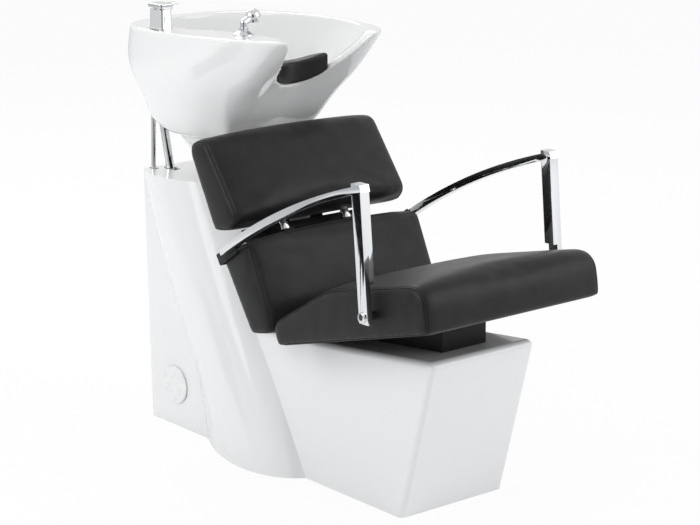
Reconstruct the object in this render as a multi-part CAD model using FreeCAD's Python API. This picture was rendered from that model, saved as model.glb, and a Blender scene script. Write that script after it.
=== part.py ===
"""Salon backwash unit: reclined seat with two back pads, leaning moulded base, ceramic hair basin.

Millimetres, +Z up. The sitter faces -Y and the sitter's right hand is on -X.
The origin is on the floor, at the centre of the moulded base's footprint.
"""
import math
import os

import FreeCAD
import Part

os.makedirs("parts", exist_ok=True)
V = FreeCAD.Vector

# Shared clearances and overruns
cut_overrun = 20.0
soft_gap = 0.4
pad_back_gap = 1.0
running_gap = 0.05
fit_gap = 0.3

# Moulded base: a low trunk under the seat, and a leaning column behind it
base_length = 944.0
base_wall = 5.0
trunk_half_width = 152.0
trunk_top_drop = 257.0
trunk_top_tilt = math.radians(5.8)
trunk_front_lean = math.radians(14.8)
trunk_side_fillet = 14.0
trunk_rear_y = 110.0
column_height = 634.0
column_lean_rear = 5.0
column_floor_half_width = 225.0
column_floor_front = -150.0
column_floor_seam = 237.0
column_top_half_width = 196.0
column_top_front = 158.0
column_top_seam = 470.0
rear_half_width_floor = 159.0
rear_half_width_top = 167.0
seam_gap = 0.5
cover_wall = 4.0

# Column outline from the front centre round to the seam: shares of the half width,
# and of the run from the front to the seam
floor_outline_shares = ((0.0, 0.0), (0.36, 0.004), (0.66, 0.036), (0.867, 0.145), (0.96, 0.271),
                        (1.0, 0.439), (0.964, 0.620), (0.876, 0.793), (0.707, 1.0))
top_outline_shares = ((0.0, 0.0), (0.20, 0.008), (0.41, 0.052), (0.69, 0.245), (0.85, 0.375),
                      (0.94, 0.500), (1.0, 0.677), (0.975, 0.840), (0.852, 1.0))
# Runs that the shell's seam is drawn in, height shares of its knots, and how far it has gone back there
seam_stations = 8
seam_height_shares = (0.0, 0.13, 0.30, 0.60, 1.0)
seam_run_shares = (0.0, 0.055, 0.215, 0.605, 1.0)

# Round access cap in the rear cover, on the sitter's right
cap_radius = 47.5
cap_y = 366.0
cap_z = 107.0
cap_thickness = 4.0
cap_collar_depth = 12.0
cap_collar_wall = 2.5
cap_collar_gap = 0.4
cap_lip = 4.0

# Floor frame inside the base
rail_width = 40.0
rail_height = 30.0
rail_wall = 3.0
rail_x = 70.0
frame_front_y = -420.0
frame_rear_y = 430.0
foot_tab_length = 46.0
foot_tab_thickness = 8.0
anchor_spacing_x = 230.0
anchor_front_y = -380.0
anchor_rear_y = 400.0
anchor_hole_radius = 5.5
cross_member_y_shares = (0.0, 0.35, 0.70)

# Seat pillar, from the floor frame to the trunk's top
pillar_y = -330.0
pillar_width = 160.0
pillar_depth = 70.0
pillar_wall = 4.0
pillar_plate_thickness = 8.0
pillar_plate_front = -455.0
pillar_plate_rear = -4.0
pillar_plate_half_width = 88.0
seat_bolt_radius = 5.0
seat_bolt_x = 45.0
seat_bolt_front_y = -425.0
seat_bolt_rear_y = -240.0
back_bolt_y = -50.0
back_bolt_x = 30.0
seat_bolt_head_radius = 8.5
seat_bolt_head_height = 6.0

# Mast inside the column, with the ears that carry the tilt shaft
mast_y = 380.0
mast_size = 40.0
mast_wall = 3.0
tilt_y = 445.0
tilt_drop = 24.0
tilt_shaft_radius = 8.0
tilt_shaft_half_length = 92.0
ear_thickness = 8.0
ear_radius = 14.0
bush_wall = 2.5
bush_flange = 2.0
bush_flange_radius = 13.0
retainer_width = 2.0
retainer_radius = 12.0

# Foot of the basin stand, which turns on the shaft
lug_x = 84.0
lug_thickness = 8.0
stand_plate_drop = 62.0
stand_plate_thickness = 8.0
stand_plate_front = 421.0
stand_plate_rear = 469.5
stand_plate_half_width = 156.0
stand_collar_wall = 3.0
stand_collar_height = 16.0

# Chrome tubes of the basin stand: places of their axes at the column's top and at the basin
thick_radius = 10.5
thick_wall = 2.0
thick_foot_x = 114.0
thick_foot_y = 440.0
thick_head_x = 120.0
thick_head_run_share = 0.8403226
thin_radius = 5.75
thin_wall = 1.5
thin_foot_x = 148.0
thin_foot_y = 462.0
thin_head_x = 143.0
thin_head_run_share = 0.8532258
tube_head_depth = 258.0
thick_seat_depth = 213.0
thin_seat_depth = 181.0
slot_clearance = 3.2
slot_reach_share = 1.9
service_hole_radius = 38.0
sleeve_wall = 3.0
sleeve_length = 22.0

# Ceramic basin: rim, notch and outer form
rim_over_column = 369.0
rim_fall = 0.023
basin_heel_y = 185.86
basin_heel_share = 0.403
front_lean_share = 0.4322581
basin_length = 620.0
basin_half_width = 238.0
lip_depth = 131.0
neck_half_width = 130.0
basin_wall = 10.0
bowl_outer_depth = 268.0
# One row for each outer section, from the top: drop and front, rear, half-width, corner and dish shares
bowl_section_shares = ((0.0, -0.010, 1.0, 1.0, 0.62, 0.0), (0.19, 0.076, 1.0, 1.0, 0.64, 0.001),
                       (0.37, 0.158, 0.998, 0.996, 0.655, 0.036), (0.54, 0.234, 0.965, 0.955, 0.665, 0.048),
                       (0.70, 0.306, 0.917, 0.890, 0.69, 0.030), (0.83, 0.361, 0.900, 0.835, 0.70, 0.011),
                       (0.93, 0.403, 0.872, 0.750, 0.74, 0.0), (1.0, 0.450, 0.838, 0.640, 0.76, 0.0))
# Plan of the dished front wall: shares of the corner's half width and of the dish
front_plan_shares = ((0.5, 0.55), (0.97, 0.0))
front_bow_share = 0.006
# Plan of an outer section behind its front corner: shares of half width and of its length
bowl_plan_shares = ((0.785, 0.107), (0.915, 0.262), (1.0, 0.50), (0.975, 0.69), (0.80, 0.885), (0.45, 0.975))
# Notch for the neck: half width and height shares, from the horn down to the lip's centre
notch_shares = ((1.0, 1.0), (0.892, 0.901), (0.842, 0.809), (0.777, 0.641), (0.696, 0.481),
                (0.631, 0.382), (0.573, 0.275), (0.531, 0.206), (0.446, 0.13), (0.323, 0.061))

# Waste hub under the bowl
hub_run_share = 0.63871
hub_bottom_depth = 335.0
hub_top_depth = 251.0
hub_bottom_radius = 86.0
hub_waist_radius = 124.0
hub_waist_depth = 291.0
hub_top_radius = 146.0

# Hollow cast between the outer wall and the bowl
deck_thickness = 20.0
boss_wall = 8.0

# Bowl cavity: off centre, so that a broad deck is left on the sitter's right
cavity_depth = 237.0
cavity_over = 12.0
waste_hole_radius = 24.0
waste_x = 7.0
waste_run_share = 0.57742
# One row for each cavity section, from the top: drop, then front, rear, right and left shares
cavity_section_shares = ((0.0, 0.014, 0.945, 0.655, 0.915), (0.25, 0.124, 0.934, 0.640, 0.900),
                         (0.50, 0.268, 0.890, 0.590, 0.830), (0.72, 0.350, 0.800, 0.500, 0.710),
                         (0.90, 0.402, 0.715, 0.370, 0.520), (1.0, 0.455, 0.660, 0.240, 0.300))
# Plan of a cavity section on the right and on the left: shares of its half width and its length
cavity_right_shares = ((0.45, 0.008), (0.66, 0.07), (0.665, 0.17), (0.63, 0.285), (0.69, 0.40),
                       (0.84, 0.52), (1.0, 0.66), (0.95, 0.82), (0.55, 0.955))
cavity_left_shares = ((0.42, 0.005), (0.60, 0.06), (0.80, 0.17), (0.93, 0.30), (1.0, 0.45),
                      (0.975, 0.65), (0.78, 0.86), (0.42, 0.98))

# Neck rest: a gel saddle over the lip
neck_rest_half_width = 72.0
neck_rest_depth = 46.0
neck_rest_height = 50.0
neck_rest_hollow_radius = 124.0
neck_rest_setback = 9.0
neck_rest_dish_share = 0.0467742
neck_rest_rounding = 10.0
notch_depth_share = 0.1

# Waste: flange, basket strainer and tail
waste_flange_radius = 33.0
waste_flange_height = 2.5
waste_body_radius = 23.6
waste_body_length = 118.0
waste_bore_radius = 20.0
strainer_ledge = 2.5
strainer_wall = 1.5
strainer_radius = 19.4
strainer_thickness = 2.0
strainer_depth = 12.0
strainer_hole_radius = 2.6
strainer_hole_ring = 11.0
strainer_holes = 8
strainer_knob_radius = 3.5
strainer_knob_height = 9.0
waste_nut_radius = 31.0
waste_nut_height = 14.0

# Single-lever mixer on the deck
mixer_x = -203.0
mixer_run_share = 0.64839
mixer_half_x = 17.0
mixer_half_y = 25.0
mixer_corner = 9.0
mixer_height = 47.0
mixer_base_lip = 2.5
mixer_base_height = 4.0
mixer_shank_radius = 16.0
mixer_hole_radius = 17.5
mixer_shank_length = 40.0
mixer_nut_radius = 21.0
mixer_nut_height = 7.0
spindle_radius = 11.0
spindle_height = 7.0
spindle_rise = 8.0
spindle_tongue = 4.0
spindle_tongue_half_length = 3.6
spindle_pin_radius = 2.0
spindle_pin_half_length = 12.0
lever_half_x = 20.0
lever_half_y = 28.0
lever_height = 13.0
lever_tongue_length = 24.0
lever_tongue_half_width = 9.0
lever_tongue_thickness = 5.0
lever_play = 1.0
lever_swing_gap = 1.2
lever_roof = 3.0
lever_top_rounding = 2.5
lever_lift = math.radians(16.5)
lever_pin_offset = 6.5

# Hand shower in its escutcheon
shower_x = -128.0
shower_run_share = 0.28871
escutcheon_radius = 24.5
escutcheon_rim = 2.0
escutcheon_height = 9.0
escutcheon_collar_radius = 13.0
escutcheon_collar_height = 16.0
guide_radius = 12.0
guide_length = 46.0
guide_nut_radius = 20.0
guide_nut_height = 8.0
shower_hole_radius = 13.0
handle_radius = 8.5
handle_depth = 34.0
handle_rise = 27.0
head_radius = 18.0
head_reach = 27.0
head_lift = 40.0
nozzle_radius = 15.0
nozzle_height = 7.0

# Seat cushion, in its own frame along its underside: length, thickness, tilt
seat_half_width = 257.0
seat_rear_y = -158.0
seat_drop = 293.3
seat_tilt = math.radians(15.2)
seat_length = 541.0
seat_thickness = 118.0
seat_corner_shares = ((0.0, 0.0), (-0.012, 0.46), (0.40, 1.0), (1.0, 0.905), (0.98, 0.0))
seat_crown_shares = ((0.0, 0.0), (0.0, 0.13), (0.0, 0.07), (0.015, 0.08), (0.006, 0.0))
seat_corner_radii = (10.0, 24.0, 200.0, 44.0, 10.0)
seat_core_side_inset = 16.0
seat_core_height = 72.0
seat_core_shares = ((0.035, 0.0), (0.035, 0.50), (0.24, 1.0), (0.91, 1.0), (0.93, 0.0))

# Lower back pad
lower_rear_y = -65.7
lower_back_drop = 286.8
lower_lean = math.radians(33.8)
lower_length = 207.0
lower_thickness = 118.0
lower_corner_shares = ((0.0, 0.0), (1.0, 0.0), (0.90, 1.0), (0.14, 0.79), (-0.145, 0.62))
lower_crown_shares = ((0.0, 0.0), (0.0, 0.0), (0.02, 0.17), (0.0, 0.22), (-0.01, 0.06))
lower_corner_radii = (8.0, 10.0, 16.0, 60.0, 18.0)

# Upper back pad
upper_rear_y = 69.8
upper_back_drop = 72.8
upper_lean = math.radians(28.5)
upper_length = 222.0
upper_thickness = 100.0
upper_corner_shares = ((0.0, 0.0), (1.0, 0.0), (0.925, 0.70), (-0.02, 1.03), (-0.09, 0.62))
upper_crown_shares = ((0.0, 0.0), (0.0, 0.0), (0.0, 0.26), (0.0, 0.29), (0.045, 0.0))
upper_corner_radii = (10.0, 24.0, 30.0, 24.0, 14.0)

# Stations of every cushion across its width: share of the half width, share of the crown, inset share
cushion_station_shares = ((1.0, 0.0, 1.0), (0.982, 0.0, 0.25), (0.93, 0.22, 0.0), (0.70, 0.75, 0.0),
                          (0.0, 1.0, 0.0))
cushion_side_draw = 7.0

# Boards let into the backs of the pads
board_thickness = 12.0
board_inset = 24.0

# Black steel seat frame: plate and hollow wedge block
plate_half_width = 63.0
plate_thickness = 5.0
plate_front_y = -498.0
plate_rear_y = -222.0
block_half_width = 64.0
block_front_y = -503.0
block_rear_y = -215.0
block_wall = 6.0

# Black steel back frame: foot plate, bent uprights, straps, arm brackets and the plate behind the pads' gap
back_foot_front = -84.0
back_foot_rear = -22.0
upright_x = 50.0
upright_width = 30.0
upright_thickness = 10.0
upright_top_share = 0.80
gap_plate_half_width = 174.0
gap_plate_start = 2.0
gap_plate_height = 38.0
gap_plate_thickness = 6.0
stud_tab_half_width = 16.0
stud_tab_thickness = 5.0
stud_tab_reach = 64.0
bracket_inner_x = 258.0
bracket_thickness = 4.0
bracket_length = 27.0
bracket_reach = 72.0
strap_width = 18.0
strap_thickness = 4.0
strap_half_width = 262.0
upper_strap_half_width = 215.0
upper_strap_share = 0.70
lower_strap_share = 0.85

# Chrome studs between the pads
stud_x = 92.0
stud_radius = 10.0
stud_collar_radius = 12.0
stud_collar_height = 8.0
stud_axis_rise = 52.0
stud_length = 23.5

# Chrome arms
arm_outer_x = 287.0
arm_width = 25.0
arm_wall = 2.0
arm_front_y = -489.0
arm_rise = 135.4
arm_rear_y = 8.7
arm_tail_drop = 95.6
arm_sagitta = 21.5
arm_rail_height = 16.0
post_depth = 28.0
post_lean = math.radians(5.4)
post_foot_drop = 159.6
post_relief_drop = 73.6
post_relief_depth = 12.0
arm_plug_depth = 8.0
arm_bolt_drop = 145.6
arm_bolt_y = -499.3
arm_bolt_radius = 4.0
arm_cap_radius = 12.0
arm_cap_height = 5.0
cap_rounding_share = 0.7
cap_face_share = 0.9
arm_spacer_radius = 9.0
rear_bolt_inset = 18.0
rear_bolt_depth = 12.0


# Helpers
def block(x0, x1, y0, y1, z0, z1):
    """Box between two corners."""
    return Part.makeBox(x1 - x0, y1 - y0, z1 - z0, V(x0, y0, z0))


def rod(start, end, radius):
    """Round bar from one point to another."""
    return Part.makeCylinder(radius, (end - start).Length, start, end - start)


def upright_rod(x, y, z0, z1, radius):
    return rod(V(x, y, z0), V(x, y, z1), radius)


def cross_rod(x0, x1, y, z, radius):
    return rod(V(x0, y, z), V(x1, y, z), radius)


def side_prism(points, x0, x1):
    """Prism along X of an outline given as (y, z) points."""
    corners = [V(x0, y, z) for y, z in points]
    face = Part.Face(Part.makePolygon(corners + corners[:1]))
    return face.extrude(V(x1 - x0, 0, 0))


def both_sides(shape):
    """A right-hand piece and its mirror image, as a pair."""
    return [shape, shape.mirror(V(0, 0, 0), V(1, 0, 0))]


def fuse_all(shapes):
    return shapes[0].fuse(shapes[1:]).removeSplitter()


def cut_all(shape, tools):
    return shape.cut(tools)


def save(node, shapes):
    """Write a sub-part's solids to its STEP file."""
    solids = []
    for shape in shapes:
        solids.extend(shape.Solids)
    whole = solids[0] if len(solids) == 1 else Part.makeCompound(solids)
    whole.exportStep("parts/" + node + ".step")
    print(node, len(solids), "solids", round(whole.Volume / 1000.0, 1), "cm3", whole.isValid())


def between(first, last, share):
    return first + (last - first) * share


def interpolate(knots, values, share):
    """Smooth value between knots, by their Lagrange polynomial."""
    total = 0.0
    for i, value in enumerate(values):
        weight = 1.0
        for j, knot in enumerate(knots):
            if j != i:
                weight *= (share - knot) / (knots[i] - knot)
        total += value * weight
    return total


def inset_loop(points, distance):
    """Closed outline moved inwards by a distance, mitred at its corners."""
    count = len(points)
    area = sum(points[i][0] * points[(i + 1) % count][1] - points[(i + 1) % count][0] * points[i][1]
               for i in range(count))
    turn = 1.0 if area > 0 else -1.0
    moved = []
    for i in range(count):
        before, here, after = points[i - 1], points[i], points[(i + 1) % count]
        normals = []
        for start, end in ((before, here), (here, after)):
            length = math.hypot(end[0] - start[0], end[1] - start[1])
            normals.append((-(end[1] - start[1]) * turn / length, (end[0] - start[0]) * turn / length))
        bx, by = normals[0][0] + normals[1][0], normals[0][1] + normals[1][1]
        size = math.hypot(bx, by)
        reach = distance / max(size / 2.0, 0.5)
        moved.append((here[0] + bx / size * reach, here[1] + by / size * reach))
    return moved


def spline(points, closed=False):
    curve = Part.BSplineCurve()
    curve.interpolate(points, PeriodicFlag=closed)
    return curve.toShape()


def smooth_loft(wires):
    """Solid through closed wires, kept to cubic surfaces so that it doesn't bulge between them."""
    return Part.makeLoft(wires, True, False, False, 3)


def rounded_outline(points, radii, x):
    """Closed wire in a plane of constant X: straight runs joined by tangent arcs."""
    count = len(points)
    starts, middles, ends = [], [], []
    for i in range(count):
        here = V(x, points[i][0], points[i][1])
        before = V(x, points[i - 1][0], points[i - 1][1])
        after = V(x, points[(i + 1) % count][0], points[(i + 1) % count][1])
        back = (before - here).normalize()
        ahead = (after - here).normalize()
        half = back.getAngle(ahead) / 2.0
        reach = radii[i] / math.tan(half)
        bisector = (back + ahead).normalize()
        starts.append(here + back * reach)
        middles.append(here + bisector * (radii[i] / math.sin(half) - radii[i]))
        ends.append(here + ahead * reach)
    edges = []
    for i in range(count):
        edges.append(Part.Arc(starts[i], middles[i], ends[i]).toShape())
        edges.append(Part.makeLine(ends[i], starts[(i + 1) % count]))
    return Part.Wire(edges)


class Slope:
    """A tilted frame in the side view: along its base line, and out from it."""

    def __init__(self, y, z, along, out):
        self.y, self.z, self.along, self.out = y, z, along, out

    def at(self, run, rise):
        return (self.y + self.along[0] * run + self.out[0] * rise,
                self.z + self.along[1] * run + self.out[1] * rise)

    def prism(self, points, x0, x1):
        return side_prism([self.at(run, rise) for run, rise in points], x0, x1)

    def slab(self, run0, run1, rise0, rise1, x0, x1):
        return self.prism(((run0, rise0), (run1, rise0), (run1, rise1), (run0, rise1)), x0, x1)


# Heights hung from the column's deck
trunk_top_front_height = column_height - trunk_top_drop
seat_rear_z = column_height - seat_drop
lower_rear_z = column_height - lower_back_drop
upper_rear_z = column_height - upper_back_drop
arm_top_z = column_height + arm_rise
arm_rear_z = column_height - arm_tail_drop
post_bottom_z = column_height - post_foot_drop
post_relief_top_z = column_height - post_relief_drop
arm_bolt_z = column_height - arm_bolt_drop
rim_height = column_height + rim_over_column
tilt_z = column_height - tilt_drop
stand_plate_z = column_height - stand_plate_drop

# Heights hung from the basin's rim, and places along the basin from its heel
tube_head_z = rim_height - tube_head_depth
thick_seat_z = rim_height - thick_seat_depth
thin_seat_z = rim_height - thin_seat_depth
lip_centre_height = rim_height - lip_depth
bowl_bottom_height = rim_height - bowl_outer_depth
hub_bottom_z = rim_height - hub_bottom_depth
hub_waist_z = rim_height - hub_waist_depth
hub_top_z = rim_height - hub_top_depth
cavity_floor_z = rim_height - cavity_depth
rim_front_y = basin_heel_y - basin_heel_share * basin_length
hub_y = rim_front_y + hub_run_share * basin_length
waste_y = rim_front_y + waste_run_share * basin_length
mixer_y = rim_front_y + mixer_run_share * basin_length
shower_y = rim_front_y + shower_run_share * basin_length
thick_head_y = rim_front_y + thick_head_run_share * basin_length
thin_head_y = rim_front_y + thin_head_run_share * basin_length
notch_depth = notch_depth_share * basin_length
neck_rest_dish = neck_rest_dish_share * basin_length
front_lean = front_lean_share * basin_length / bowl_outer_depth

seat_slope = Slope(seat_rear_y, seat_rear_z, (-math.cos(seat_tilt), math.sin(seat_tilt)),
                   (math.sin(seat_tilt), math.cos(seat_tilt)))
lower_slope = Slope(lower_rear_y, lower_rear_z, (math.sin(lower_lean), math.cos(lower_lean)),
                    (-math.cos(lower_lean), math.sin(lower_lean)))
upper_slope = Slope(upper_rear_y, upper_rear_z, (math.sin(upper_lean), math.cos(upper_lean)),
                    (-math.cos(upper_lean), math.sin(upper_lean)))

base_front_y = -base_length / 2.0
base_rear_y = base_length / 2.0
trunk_top_front_y = base_front_y - trunk_top_front_height * math.tan(trunk_front_lean)


def trunk_top_z(y):
    """Height of the trunk's sloping top at a place along the base."""
    return trunk_top_front_height - (y - trunk_top_front_y) * math.tan(trunk_top_tilt)


def seat_underside_z(y):
    return seat_rear_z + (seat_rear_y - y) * math.tan(seat_tilt)


def top_layer(y0, y1, low, high, x0, x1):
    """Slab parallel to the trunk's top, between two heights above it."""
    return side_prism(((y0, trunk_top_z(y0) + low), (y1, trunk_top_z(y1) + low),
                       (y1, trunk_top_z(y1) + high), (y0, trunk_top_z(y0) + high)), x0, x1)


# Moulded base
def trunk_solid(inset):
    """Trunk with its forward-leaning front, or its inside when it is inset."""
    front_shift = inset / math.cos(trunk_front_lean)
    top_shift = inset / math.cos(trunk_top_tilt)
    half = trunk_half_width - inset
    front_low = base_front_y + front_shift
    front_high = trunk_top_front_y + front_shift
    outline = ((front_low, 0), (front_high, trunk_top_z(front_high) - top_shift),
               (trunk_rear_y, trunk_top_z(trunk_rear_y) - top_shift), (trunk_rear_y, 0))
    body = side_prism(outline, -half, half)
    top_edges, side_edges = [], []
    for edge in body.Edges:
        middle = edge.CenterOfMass
        if middle.y > trunk_rear_y - inset - trunk_side_fillet:
            continue
        if middle.z > trunk_top_z(middle.y) - top_shift - trunk_side_fillet / 2.0:
            top_edges.append(edge)
        elif middle.z > trunk_side_fillet and abs(middle.x) > half - trunk_side_fillet / 2.0:
            side_edges.append(edge)
    body = body.makeFillet(trunk_side_fillet - min(inset, trunk_side_fillet / 2.0), side_edges + top_edges)
    return body


def seam_y(share):
    run = interpolate(seam_height_shares, seam_run_shares, share)
    return between(column_floor_seam, column_top_seam, run)


def column_outline(share):
    """Half outline of the column at a share of its height, from the front centre to the seam."""
    half = between(column_floor_half_width, column_top_half_width, share)
    front = between(column_floor_front, column_top_front, share)
    run = seam_y(share) - front
    points = []
    for low, high in zip(floor_outline_shares, top_outline_shares):
        points.append((half * between(low[0], high[0], share), front + run * between(low[1], high[1], share)))
    return points


def column_section(share, inset):
    """Closed wire: a spline round the front, and straight runs along the rear."""
    right = column_outline(share)
    rear_x = between(rear_half_width_floor, rear_half_width_top, share)
    rear_y = base_rear_y + column_lean_rear * share
    loop = [(-x, y) for x, y in reversed(right[1:])] + right + [(rear_x, rear_y), (-rear_x, rear_y)]
    loop = inset_loop(loop, inset)
    z = column_height * share
    corners = [V(x, y, z) for x, y in loop]
    front_edge = spline(corners[:-2])
    runs = [Part.makeLine(corners[-3], corners[-2]), Part.makeLine(corners[-2], corners[-1]),
            Part.makeLine(corners[-1], corners[0])]
    return Part.Wire([front_edge] + runs)


def column_solid(inset):
    sections = [column_section(share, inset) for share in seam_height_shares]
    return smooth_loft(sections)


def region_behind_seam(shift):
    """Everything behind the seam between the shell and the rear cover, below the deck."""
    deck_under = column_height - base_wall
    shares = [k / seam_stations for k in range(seam_stations + 1)]
    knots = [V(0, seam_y(share) + shift, column_height * share) for share in shares]
    low = V(0, knots[0].y, -cut_overrun)
    far_low = V(0, base_rear_y + 3.0 * cut_overrun, -cut_overrun)
    far_high = V(0, base_rear_y + 3.0 * cut_overrun, column_height)
    edges = [Part.makeLine(low, knots[0]), spline(knots), Part.makeLine(knots[-1], far_high),
             Part.makeLine(far_high, far_low), Part.makeLine(far_low, low)]
    reach = column_floor_half_width + cut_overrun
    face = Part.Face(Part.Wire(edges))
    face.translate(V(-reach, 0, 0))
    region = face.extrude(V(2.0 * reach, 0, 0))
    top = block(-reach, reach, -reach, base_rear_y + 3.0 * cut_overrun, -cut_overrun, deck_under - shift)
    return region.common(top)


def stadium(x, y0, y1, z0, z1, radius):
    """Upright slot cutter with round ends."""
    middle = block(x - radius, x + radius, y0, y1, z0, z1)
    return fuse_all([middle, upright_rod(x, y0, z0, z1, radius), upright_rod(x, y1, z0, z1, radius)])


def tube_slot(x, y, radius, clearance, reach):
    z0, z1 = column_height - base_wall - cut_overrun, column_height + cut_overrun
    return stadium(x, y - reach, y + clearance, z0, z1, radius + clearance)


def base_shell():
    outer = trunk_solid(0.0).fuse(column_solid(0.0))
    below_deck = block(-column_floor_half_width, column_floor_half_width, column_floor_front - cut_overrun,
                       base_rear_y + cut_overrun, -cut_overrun, column_height - base_wall)
    column_inside = column_solid(base_wall).common(below_deck)
    shell = cut_all(outer, [trunk_solid(base_wall), column_inside, region_behind_seam(0.0)])
    slots = both_sides(tube_slot(-thick_foot_x, thick_foot_y, thick_radius, slot_clearance,
                                 thick_radius * slot_reach_share))
    slots += both_sides(tube_slot(-thin_foot_x, thin_foot_y, thin_radius, slot_clearance,
                                  2.0 * slot_clearance))
    slots.append(upright_rod(waste_x, waste_y, column_height - base_wall - cut_overrun,
                             column_height + cut_overrun, service_hole_radius))
    return cut_all(shell, slots + [upright_rod(x, y, 0, column_height, seat_bolt_radius + fit_gap)
                                   for x, y in seat_bolt_places()])


def cap_hole_radius():
    return cap_radius - cap_lip


def rear_cover():
    whole = column_solid(0.0).cut(column_solid(cover_wall))
    cover = whole.common(region_behind_seam(seam_gap))
    hole = cross_rod(-column_floor_half_width, 0, cap_y, cap_z, cap_hole_radius())
    return cover.cut(hole)


def access_cap():
    share = (cap_z + cap_radius) / column_height
    face_x = -max(between(rear_half_width_floor, rear_half_width_top, share), column_outline(share)[-1][0])
    inner = face_x - fit_gap
    disc = cross_rod(inner - cap_thickness, inner, cap_y, cap_z, cap_radius)
    collar_radius = cap_hole_radius() - cap_collar_gap
    collar = cross_rod(inner, inner + cap_collar_depth, cap_y, cap_z, collar_radius)
    bore = cross_rod(inner, inner + 2.0 * cap_collar_depth, cap_y, cap_z, collar_radius - cap_collar_wall)
    disc = disc.makeChamfer(cap_thickness / 4.0, [edge for edge in disc.Edges
                                                  if abs(edge.CenterOfMass.x - inner + cap_thickness) < fit_gap])
    return fuse_all([disc, collar.cut(bore)])


def seat_bolt_places():
    places = []
    for y in (seat_bolt_front_y, seat_bolt_rear_y):
        places += [(-seat_bolt_x, y), (seat_bolt_x, y)]
    return places + [(-back_bolt_x, back_bolt_y), (back_bolt_x, back_bolt_y)]


# Steel frame inside the base
def box_rail(x, y0, y1, z0):
    """Hollow rail along Y."""
    half = rail_width / 2.0
    outer = block(x - half, x + half, y0, y1, z0, z0 + rail_height)
    inner = block(x - half + rail_wall, x + half - rail_wall, y0 - cut_overrun, y1 + cut_overrun,
                  z0 + rail_wall, z0 + rail_height - rail_wall)
    return outer.cut(inner)


def floor_frame():
    rails = both_sides(box_rail(-rail_x, frame_front_y, frame_rear_y, 0))
    inner_x = rail_x - rail_width / 2.0
    members = []
    for share in cross_member_y_shares:
        y = between(frame_front_y, frame_rear_y - rail_width, share)
        members.append(block(-inner_x, inner_x, y, y + rail_width, 0, rail_height))
    tabs = []
    for x in (-anchor_spacing_x / 2.0, anchor_spacing_x / 2.0):
        for y in (anchor_front_y, anchor_rear_y):
            side = math.copysign(1.0, x)
            near, far = side * (rail_x + rail_width / 2.0), x + side * foot_tab_length / 4.0
            tab = block(min(near, far), max(near, far), y - foot_tab_length / 2.0,
                        y + foot_tab_length / 2.0, 0, foot_tab_thickness)
            tabs.append(tab.cut(upright_rod(x, y, -cut_overrun, cut_overrun, anchor_hole_radius)))
    return fuse_all(rails + members + tabs)


def pillar_plate_under():
    return -base_wall / math.cos(trunk_top_tilt) - pillar_plate_thickness


def seat_pillar():
    """Welded box pillar with a sloping plate under the trunk's top."""
    under = pillar_plate_under()
    y0, y1 = pillar_y - pillar_depth / 2.0, pillar_y + pillar_depth / 2.0
    half = pillar_width / 2.0
    outer = side_prism(((y0, rail_height), (y1, rail_height), (y1, trunk_top_z(y1) + under),
                        (y0, trunk_top_z(y0) + under)), -half, half)
    inner = block(-half + pillar_wall, half - pillar_wall, y0 + pillar_wall, y1 - pillar_wall,
                  rail_height - cut_overrun, trunk_top_front_height - cut_overrun)
    plate = top_layer(pillar_plate_front, pillar_plate_rear, under, under + pillar_plate_thickness,
                      -pillar_plate_half_width, pillar_plate_half_width)
    pillar = fuse_all([outer.cut(inner), plate])
    return cut_all(pillar, [upright_rod(x, y, 0, column_height, seat_bolt_radius)
                            for x, y in seat_bolt_places()])


def seat_bolts():
    bolts = []
    for x, y in seat_bolt_places():
        foot = trunk_top_z(y) + pillar_plate_under() - seat_bolt_head_radius * math.tan(trunk_top_tilt)
        top = trunk_top_z(y) + plate_thickness - seat_bolt_radius * math.tan(trunk_top_tilt)
        head = upright_rod(x, y, foot - seat_bolt_head_height, foot, seat_bolt_head_radius)
        bolts.append(fuse_all([head, upright_rod(x, y, foot, top, seat_bolt_radius)]))
    return bolts


def mast():
    """Two posts on the floor frame with ears that hold the tilt shaft, tied across."""
    half = mast_size / 2.0
    top = tilt_z + ear_radius
    post = block(-rail_x - half, -rail_x + half, mast_y - half, mast_y + half, rail_height, top)
    bore = block(-rail_x - half + mast_wall, -rail_x + half - mast_wall, mast_y - half + mast_wall,
                 mast_y + half - mast_wall, rail_height, top - mast_wall)
    ear = block(-rail_x - ear_thickness / 2.0, -rail_x + ear_thickness / 2.0, mast_y + half, tilt_y,
                tilt_z - ear_radius, top)
    nose = cross_rod(-rail_x - ear_thickness / 2.0, -rail_x + ear_thickness / 2.0, tilt_y, tilt_z, ear_radius)
    side = fuse_all([post.cut(bore), ear, nose])
    tie = block(-rail_x + half, rail_x - half, mast_y - half, mast_y + half, top - 2.0 * mast_size,
                top - mast_size)
    shaft_hole = cross_rod(-tilt_shaft_half_length, tilt_shaft_half_length, tilt_y, tilt_z,
                           tilt_shaft_radius)
    return fuse_all(both_sides(side) + [tie]).cut(shaft_hole)


def tilt_shaft():
    """Shaft fixed in the mast's ears, with a retaining ring at each end."""
    bar = cross_rod(-tilt_shaft_half_length, tilt_shaft_half_length, tilt_y, tilt_z, tilt_shaft_radius)
    start = lug_x + lug_thickness / 2.0 + fit_gap
    rings = both_sides(cross_rod(start, start + retainer_width, tilt_y, tilt_z, retainer_radius))
    return fuse_all([bar] + rings)


# Basin stand: foot, bushes and chrome tubes
def tube_point(foot_x, foot_y, head_x, head_y, z):
    """Point on the axis of a right-hand stand tube at a height."""
    share = (z - column_height) / (tube_head_z - column_height)
    return V(-between(foot_x, head_x, share), between(foot_y, head_y, share), z)


def thick_point(z):
    return tube_point(thick_foot_x, thick_foot_y, thick_head_x, thick_head_y, z)


def thin_point(z):
    return tube_point(thin_foot_x, thin_foot_y, thin_head_x, thin_head_y, z)


def hollow_tube(start, end, radius, wall):
    return rod(start, end, radius).cut(rod(start, end, radius - wall))


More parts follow.
